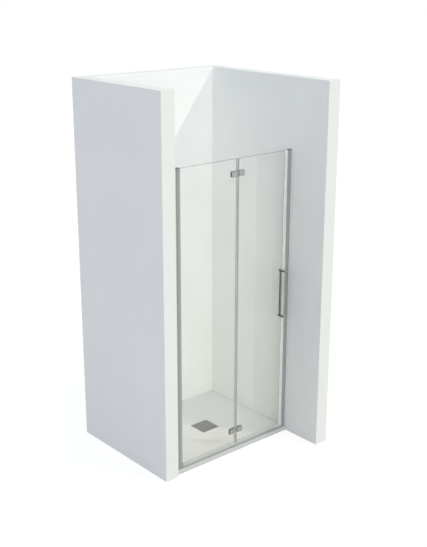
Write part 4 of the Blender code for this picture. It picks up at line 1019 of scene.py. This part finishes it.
class SHOWER_OT_seals(Operator):
    """Build the magnetic, fold, bottom and bulb seals and the glazing gasket"""

    bl_idname = "shower.seals"
    bl_label = "Seals"

    def execute(self, context):
        finishes = context.scene.shower_finishes
        cloudy = {"roughness": 0.35, "transmission": 0.35}
        milky = seal_plastic("milky_magnet_seal", finishes.magnet_seal, "Z", roughness=0.4)
        clear_level = seal_plastic("clear_bottom_seal", finishes.bottom_seal, "X", **cloudy)
        rubber = seal_plastic("grey_rubber", finishes.rubber, "Z", roughness=0.6)
        new_piece("drawn_bulb_seal", "hinge_bulb_seal", bulb_seal_shell(), rubber)
        new_piece("drawn_strike_magnet", "strike_magnet_seal", strike_magnet_shell(), milky)
        new_piece("drawn_leaf_magnet", "leaf_magnet_seal", leaf_magnet_shell(), milky)
        new_piece("drawn_glazing_gasket", "glazing_gasket", gasket_shell(), rubber)
        # The right fold seal's colour is a darker copy: painted shade.
        for leaf, side, share in (("left", -1, 1.0), ("right", 1, 0.72)):
            colour = shaded(finishes.fold_seal, share)
            clear = seal_plastic(leaf + "_fold_seal_plastic", colour, "Z", **cloudy)
            node = leaf + "_fold_seal"
            new_piece("drawn_" + node, node, fold_seal_shell(side), clear, fold_seal_notches(side))
            node = leaf + "_bottom_seal"
            new_piece("drawn_" + node, node, bottom_seal_shell(node), clear_level)
        return {"FINISHED"}


# Hinges

def plate_shell(low, high, arris):
    """Clamp plate: a rounded rectangle with quarter-round edges, seen flat from the front."""
    return block(low, high, corner=0.008, edge=arris, axis="Y", steps=10)


def inner_plate_parts(node, side, arris):
    """The shower-side plate, its knuckles and webs, and the holes for the pin and the screw."""
    height, fold = middle_of(node)[2], FOLD[0]
    thickness, knuckle, web_depth, bore = 0.005, 0.006, 0.003, 0.0028
    plate_start, plate_end, web_end = 0.007, 0.056, 0.0158
    near = DOOR_Y + GLASS_HALF + FIT
    far = near + thickness
    start, end = sorted((fold + side * plate_start, fold + side * plate_end))
    plate = plate_shell((start, near, height - PLATE_HALF), (end, far, height + PLATE_HALF), arris)
    spans = [(-KNUCKLE_HALF, KNUCKLE_HALF)]
    if side == -1:
        spans = [(-PLATE_HALF, -KNUCKLE_HALF - FIT), (KNUCKLE_HALF + FIT, PLATE_HALF)]
    left, right = sorted((fold, fold + side * web_end))
    joined = []
    for bottom, top in spans:
        heights, insets = edge_stations(height + bottom, height + top, 0.0004)
        joined.append(turned(zip(heights, knuckle - insets), FOLD))
        web = (left, far - web_depth, height + bottom), (right, far - FIT, height + top)
        joined.append(block(*web, corner=0.0002, edge=0.0002))
    reach = PLATE_HALF + OVERRUN
    pin_hole = drilled(height - reach, height + reach, bore, FOLD)
    head = bore + 0.0025
    countersink = [(OVERRUN, head), (-0.0002, head), (-0.0027, bore), (-thickness - OVERRUN, bore)]
    sink = turned(countersink, ((start + end) / 2, far, height), "Y")
    return plate, joined, [pin_hole, sink]


class SHOWER_OT_hinges(Operator):
    """Build the clamp plates, knuckles and pins of the two glass hinges"""

    bl_idname = "shower.hinges"
    bl_label = "Hinges"

    def execute(self, context):
        finishes = context.scene.shower_finishes
        front, back = span("upper_hinge_left_outer_plate", 1)
        half = (back - front) / 2
        steel = drawn_metal("satin_knuckle_steel", finishes.steel, 0.26, "X")
        arris = finishes.plate_arris
        # Painted shade: the lower hinges get a darker copy of the steel, and each outer plate's edge sides
        # are darker than its faces.
        for label, share in (("upper", 1.0), ("lower", LOW_HINGE_SHADE_SHARE)):
            front_steel = drawn_metal(
                label + "_hinge_steel", shaded(finishes.steel, share), 0.26, "X",
                shaded_flanks=[("Y", front + half, half - 0.0009, half - 0.0003)],
            )
            for leaf, side in (("left", -1), ("right", 1)):
                node = label + "_hinge_" + leaf + "_outer_plate"
                new_piece("satin_" + node, node, plate_shell(*corners_of(node), arris), front_steel)
                node = label + "_hinge_" + leaf + "_inner_plate"
                plate, joined, holes = inner_plate_parts(node, side, arris)
                new_piece("satin_" + node, node, plate, steel, holes, joined)
            node = label + "_hinge_pin"
            bottom, top = span(node)
            head = [(0.0, 0.0040), (0.0002, 0.0045), (0.0006, 0.0048), (0.0015, 0.0048), (0.0015, 0.0025)]
            stations = [(bottom + off, radius) for off, radius in head]
            stations += [(top - off, radius) for off, radius in head[::-1]]
            new_piece("turned_" + node, node, turned(stations, FOLD), steel)
        return {"FINISHED"}


# Handle

def handle_shell(edge):
    """Square bar bent into a closed loop.

    Each point of the bar's rounded square section draws one rounded rectangle in the loop's plane. Its corner
    radius falls evenly from 4 mm on the outside to 1 mm on the inside.
    """
    low, high = corners_of("loop_handle")
    bar = high[0] - low[0]
    section = outline([(0.0, 0.0), (bar, 0.0), (bar, bar), (0.0, bar)], edge, 4)
    centre, half = (low + high)[1:] / 2, (high - low)[1:] / 2
    loops = [
        ring(centre, half - inwards, 0.004 - 0.003 * inwards / bar, low[0] + across, 8)
        for inwards, across in section
    ]
    return skin(loops, "X", closed=True)


class SHOWER_OT_handle(Operator):
    """Build the square-bar loop handle"""

    bl_idname = "shower.handle"
    bl_label = "Handle"

    def execute(self, context):
        finishes = context.scene.shower_finishes
        low, high = corners_of("loop_handle")
        half = (high[0] - low[0]) / 2
        # Painted shade: the bar's side faces behind its front bar are darker than the rest.
        steel = drawn_metal(
            "satin_handle_steel", finishes.steel, 0.24, "Z", dark=0.38,
            shaded_flanks=[
                ("X", low[0] + half, half - 0.0003, half - 0.0009),
                ("Y", low[1], 2 * half + 0.0015, 2 * half + 0.0005),
            ],
        )
        new_piece("square_loop_handle", "loop_handle", handle_shell(finishes.handle_edge), steel)
        return {"FINISHED"}


# Screws

def pan_head(head_radius, head, shank_radius, shank, socket, depth):
    """Stations of a pan-head screw from its point up over the dome and down into a hexagon socket."""
    point = shank_radius / 2
    stations = [(-shank, point), (-shank + point, shank_radius), (0.0, shank_radius), (0.0, head_radius)]
    for turn in np.radians(np.linspace(10.0, 70.0, 5)):
        stations.append((head * math.sin(turn), socket + (head_radius - socket) * math.cos(turn)))
    return stations + [(head, socket * 1.25), (head, socket, HEXAGON), (head - depth, socket, HEXAGON)]


def flat_head(head_radius, head, chamfer, shank_radius, shank, socket, depth):
    """Stations of a flat-topped screw head with a chamfered rim and a hexagon socket."""
    return [
        (-shank, shank_radius), (0.0, shank_radius), (0.0, head_radius),
        (head - chamfer, head_radius), (head, head_radius - chamfer), (head, socket * 1.3),
        (head, socket, HEXAGON), (head - depth, socket, HEXAGON),
    ]


def grub(length):
    """Stations of a grub screw: rounded ends, and a hexagon socket in the outer one."""
    socket = 0.0018 * 0.87
    return [
        (-length, 0.0028), (-length + 0.0005, 0.0033), (-0.0004, 0.0033), (0.0, 0.0029), (0.0, 0.0021),
        (0.0, socket, HEXAGON), (-0.0020, socket, HEXAGON),
    ]


def countersunk(length):
    """Stations of a countersunk screw: a shank, a cone under the head and a hexagon socket."""
    return [
        (-length, 0.0022), (-length + 0.0003, 0.0025), (-0.0025, 0.0025), (-0.0001, 0.0049), (0.0, 0.0048),
        (0.0, 0.0021), (0.0, 0.0016, HEXAGON), (-0.0018, 0.0016, HEXAGON),
    ]


def add_screw(prefix, node, stations, seat, material, flip=1):
    """A screw turned about the line along Y through its node's middle, with its head's seat at y = seat."""
    at_x, _, at_z = middle_of(node)
    new_piece(prefix + "_" + node, node, turned(stations, (at_x, seat, at_z), "Y", flip), material)


class SHOWER_OT_screws(Operator):
    """Build the wall, jamb, clamp, hinge and handle screws"""

    bl_idname = "shower.screws"
    bl_label = "Screws"

    def execute(self, context):
        finishes = context.scene.shower_finishes
        steel = drawn_metal("screw_steel", finishes.steel, 0.25, "Z", depth=0.03)
        dark = drawn_metal("blackened_screw_steel", BLACKENED, 0.50, "Z", depth=0.05, metallic=0.3)
        on_wall = pan_head(
            head_radius=0.0045, head=0.0024, shank_radius=0.0025, shank=0.040, socket=0.0014, depth=0.0012
        )
        on_jamb = pan_head(
            head_radius=0.0040, head=0.0022, shank_radius=0.0020, shank=0.0055, socket=0.0012, depth=0.0011
        )
        for label, side in (("hinge", 1), ("strike", -1)):
            for number in ("1", "2"):
                node = label + "_wall_screw_" + number
                place = (frame_side(side)[0] + side * WEB_FACE, DOOR_Y, middle_of(node)[2])
                new_piece("turned_" + node, node, turned(on_wall, place, "X", side), steel)
                add_screw("turned", label + "_jamb_screw_" + number, on_jamb, DOOR_Y + JAMB_HALF + FIT, steel)
        for node in ("upper_clamp_screw", "lower_clamp_screw"):
            front, back = span(node, 1)
            add_screw("blackened", node, grub(back - front), front, dark, -1)
        head = 0.003
        for label in ("upper", "lower"):
            for node in (label + "_hinge_left_screw", label + "_hinge_right_screw"):
                front, back = span(node, 1)
                add_screw("turned", node, countersunk(back - front), back, steel)
            node = label + "_handle_screw"
            front, back = span(node, 1)
            stations = flat_head(
                head_radius=0.010, head=head, chamfer=0.0012, shank_radius=0.003, shank=back - front - head,
                socket=0.0026, depth=0.0020,
            )
            add_screw("turned", node, stations, back - head, steel)
        return {"FINISHED"}


# Stage

def add_camera():
    """Camera at the photograph's viewpoint: a turn about Z, a downward tilt and a slight roll."""
    place = (-3.94227, -4.63709, 3.17136)
    turn, tilt, roll = 0.7139, -0.3117, 0.0017
    focal_pixels, long_side, sensor = 954.77, 547, 36.0
    ahead = Vector((math.sin(turn) * math.cos(tilt), math.cos(turn) * math.cos(tilt), math.sin(tilt)))
    right = Vector((math.cos(turn), -math.sin(turn), 0.0))
    up = right.cross(ahead)
    level_right, level_up = right.copy(), up.copy()
    right = level_right * math.cos(roll) + level_up * math.sin(roll)
    up = level_up * math.cos(roll) - level_right * math.sin(roll)
    data = bpy.data.cameras.new("viewpoint")
    data.sensor_width = sensor
    data.lens = focal_pixels * sensor / long_side
    data.clip_start, data.clip_end = 0.1, 500.0
    camera = bpy.data.objects.new("viewpoint", data)
    bpy.context.scene.collection.objects.link(camera)
    camera.matrix_world = Matrix.Translation(place) @ Matrix((right, up, -ahead)).transposed().to_4x4()
    bpy.context.scene.camera = camera


def add_sun(name, aim, strength, colour, angle):
    """A sun that shines along aim; its angle in degrees sets how soft it is. No surface mirrors it."""
    data = bpy.data.lights.new(name, "SUN")
    data.energy = strength
    data.color = colour
    data.angle = math.radians(angle)
    data.cycles.use_multiple_importance_sampling = False
    lamp = bpy.data.objects.new(name, data)
    lamp.rotation_mode = "QUATERNION"
    lamp.rotation_quaternion = Vector(aim).to_track_quat("-Z", "Y")
    lamp.visible_glossy = False
    lamp.visible_transmission = False
    bpy.context.scene.collection.objects.link(lamp)


def seen_directly(tree):
    """1 for rays that show a surface to the camera, also by way of metal and glass."""
    path = add_node(tree, "ShaderNodeLightPath")
    shown = path.outputs["Is Camera Ray"]
    for label in ("Is Glossy Ray", "Is Transmission Ray"):
        links = {0: shown, 1: path.outputs[label]}
        shown = add_node(tree, "ShaderNodeMath", links, operation="MAXIMUM").outputs[0]
    return shown


def add_surroundings(colour):
    """World that looks white and lights evenly in a colour."""
    world = bpy.data.worlds.new("studio")
    bpy.context.scene.world = world
    world.use_nodes = True
    tree = world.node_tree
    light = tree.nodes["Background"]
    light.inputs["Color"].default_value = (*colour, 1.0)
    white = add_node(tree, "ShaderNodeBackground", Color=WHITE)
    links = {0: seen_directly(tree), 1: light.outputs[0], 2: white.outputs[0]}
    mixed = add_node(tree, "ShaderNodeMixShader", links)
    tree.links.new(mixed.outputs[0], tree.nodes["World Output"].inputs["Surface"])


def add_floor(radius):
    """Round pale floor just below the object, which looks white and keeps a faint shadow."""
    sides, height = 64, -0.0005
    angle = np.linspace(0.0, 2 * math.pi, sides, endpoint=False)
    rim = np.stack([radius * np.cos(angle), radius * np.sin(angle), np.full(sides, height)], 1)
    mesh = bpy.data.meshes.new("pale_floor")
    mesh.from_pydata(rim.tolist(), [], [list(range(sides))])
    floor = bpy.data.objects.new("pale_floor", mesh)
    bpy.context.scene.collection.objects.link(floor)
    made = Recipe("pale_floor", 0.9)
    made.shader.inputs["Base Color"].default_value = (0.70, 0.70, 0.70, 1.0)
    glow = made.add("ShaderNodeEmission", Color=WHITE, Strength=0.80)
    matt = made.add("ShaderNodeBsdfDiffuse", Color=(0.26, 0.26, 0.26, 1.0))
    bright = made.add("ShaderNodeAddShader", {0: glow.outputs[0], 1: matt.outputs[0]})
    links = {0: seen_directly(made.tree), 1: made.shader.outputs[0], 2: bright.outputs[0]}
    mixed = made.add("ShaderNodeMixShader", links)
    made.tree.links.new(mixed.outputs[0], made.output.inputs["Surface"])
    mesh.materials.append(made.material)


class SHOWER_OT_stage(Operator):
    """Set the camera, the soft studio light and the pale floor"""

    bl_idname = "shower.stage"
    bl_label = "Stage"

    def execute(self, context):
        stage = context.scene.shower_stage
        context.scene.view_settings.view_transform = "Standard"
        add_camera()
        add_surroundings(stage.all_round)
        add_floor(stage.floor_radius)
        add_sun("key_sun", (-0.52, 0.855, -0.69), stage.sun, colour=(1.0, 1.0, 0.82), angle=0.6)
        add_sun("front_light", (0.26, 1.0, 0.0), 1.0, colour=stage.from_front, angle=35.0)
        add_sun("top_light", (0.0, 0.0, -1.0), 1.0, colour=stage.from_above, angle=40.0)
        return {"FINISHED"}


# Panel and registration

STEPS = (
    SHOWER_OT_stage, SHOWER_OT_walls, SHOWER_OT_tray, SHOWER_OT_drain, SHOWER_OT_frame, SHOWER_OT_pivots,
    SHOWER_OT_glass, SHOWER_OT_seals, SHOWER_OT_hinges, SHOWER_OT_handle, SHOWER_OT_screws,
)


class SHOWER_PT_enclosure(Panel):
    """Lists the building steps and the settings"""

    bl_idname = "SHOWER_PT_enclosure"
    bl_label = "Shower Enclosure"
    bl_space_type = "VIEW_3D"
    bl_region_type = "UI"
    bl_category = "Shower"

    def draw(self, context):
        column = self.layout.column()
        for step in STEPS:
            column.operator(step.bl_idname)
        for settings in (context.scene.shower_finishes, context.scene.shower_stage):
            for name in settings.bl_rna.properties.keys():
                if name not in ("rna_type", "name"):
                    column.prop(settings, name)


CLASSES = (ShowerFinishes, ShowerStage, *STEPS, SHOWER_PT_enclosure)


def register():
    """Registers the classes and hangs the settings on the scene."""
    for kind in CLASSES:
        bpy.utils.register_class(kind)
    bpy.types.Scene.shower_finishes = PointerProperty(type=ShowerFinishes)
    bpy.types.Scene.shower_stage = PointerProperty(type=ShowerStage)


def unregister():
    """Takes the settings off the scene and the classes out again."""
    del bpy.types.Scene.shower_stage
    del bpy.types.Scene.shower_finishes
    for kind in reversed(CLASSES):
        bpy.utils.unregister_class(kind)


def main():
    """Builds everything in order."""
    register()
    for step in STEPS:
        group, name = step.bl_idname.split(".")
        result = getattr(getattr(bpy.ops, group), name)()
        if result != {"FINISHED"}:
            raise RuntimeError(step.bl_idname + " did not finish")


if __name__ == "__main__":
    main()
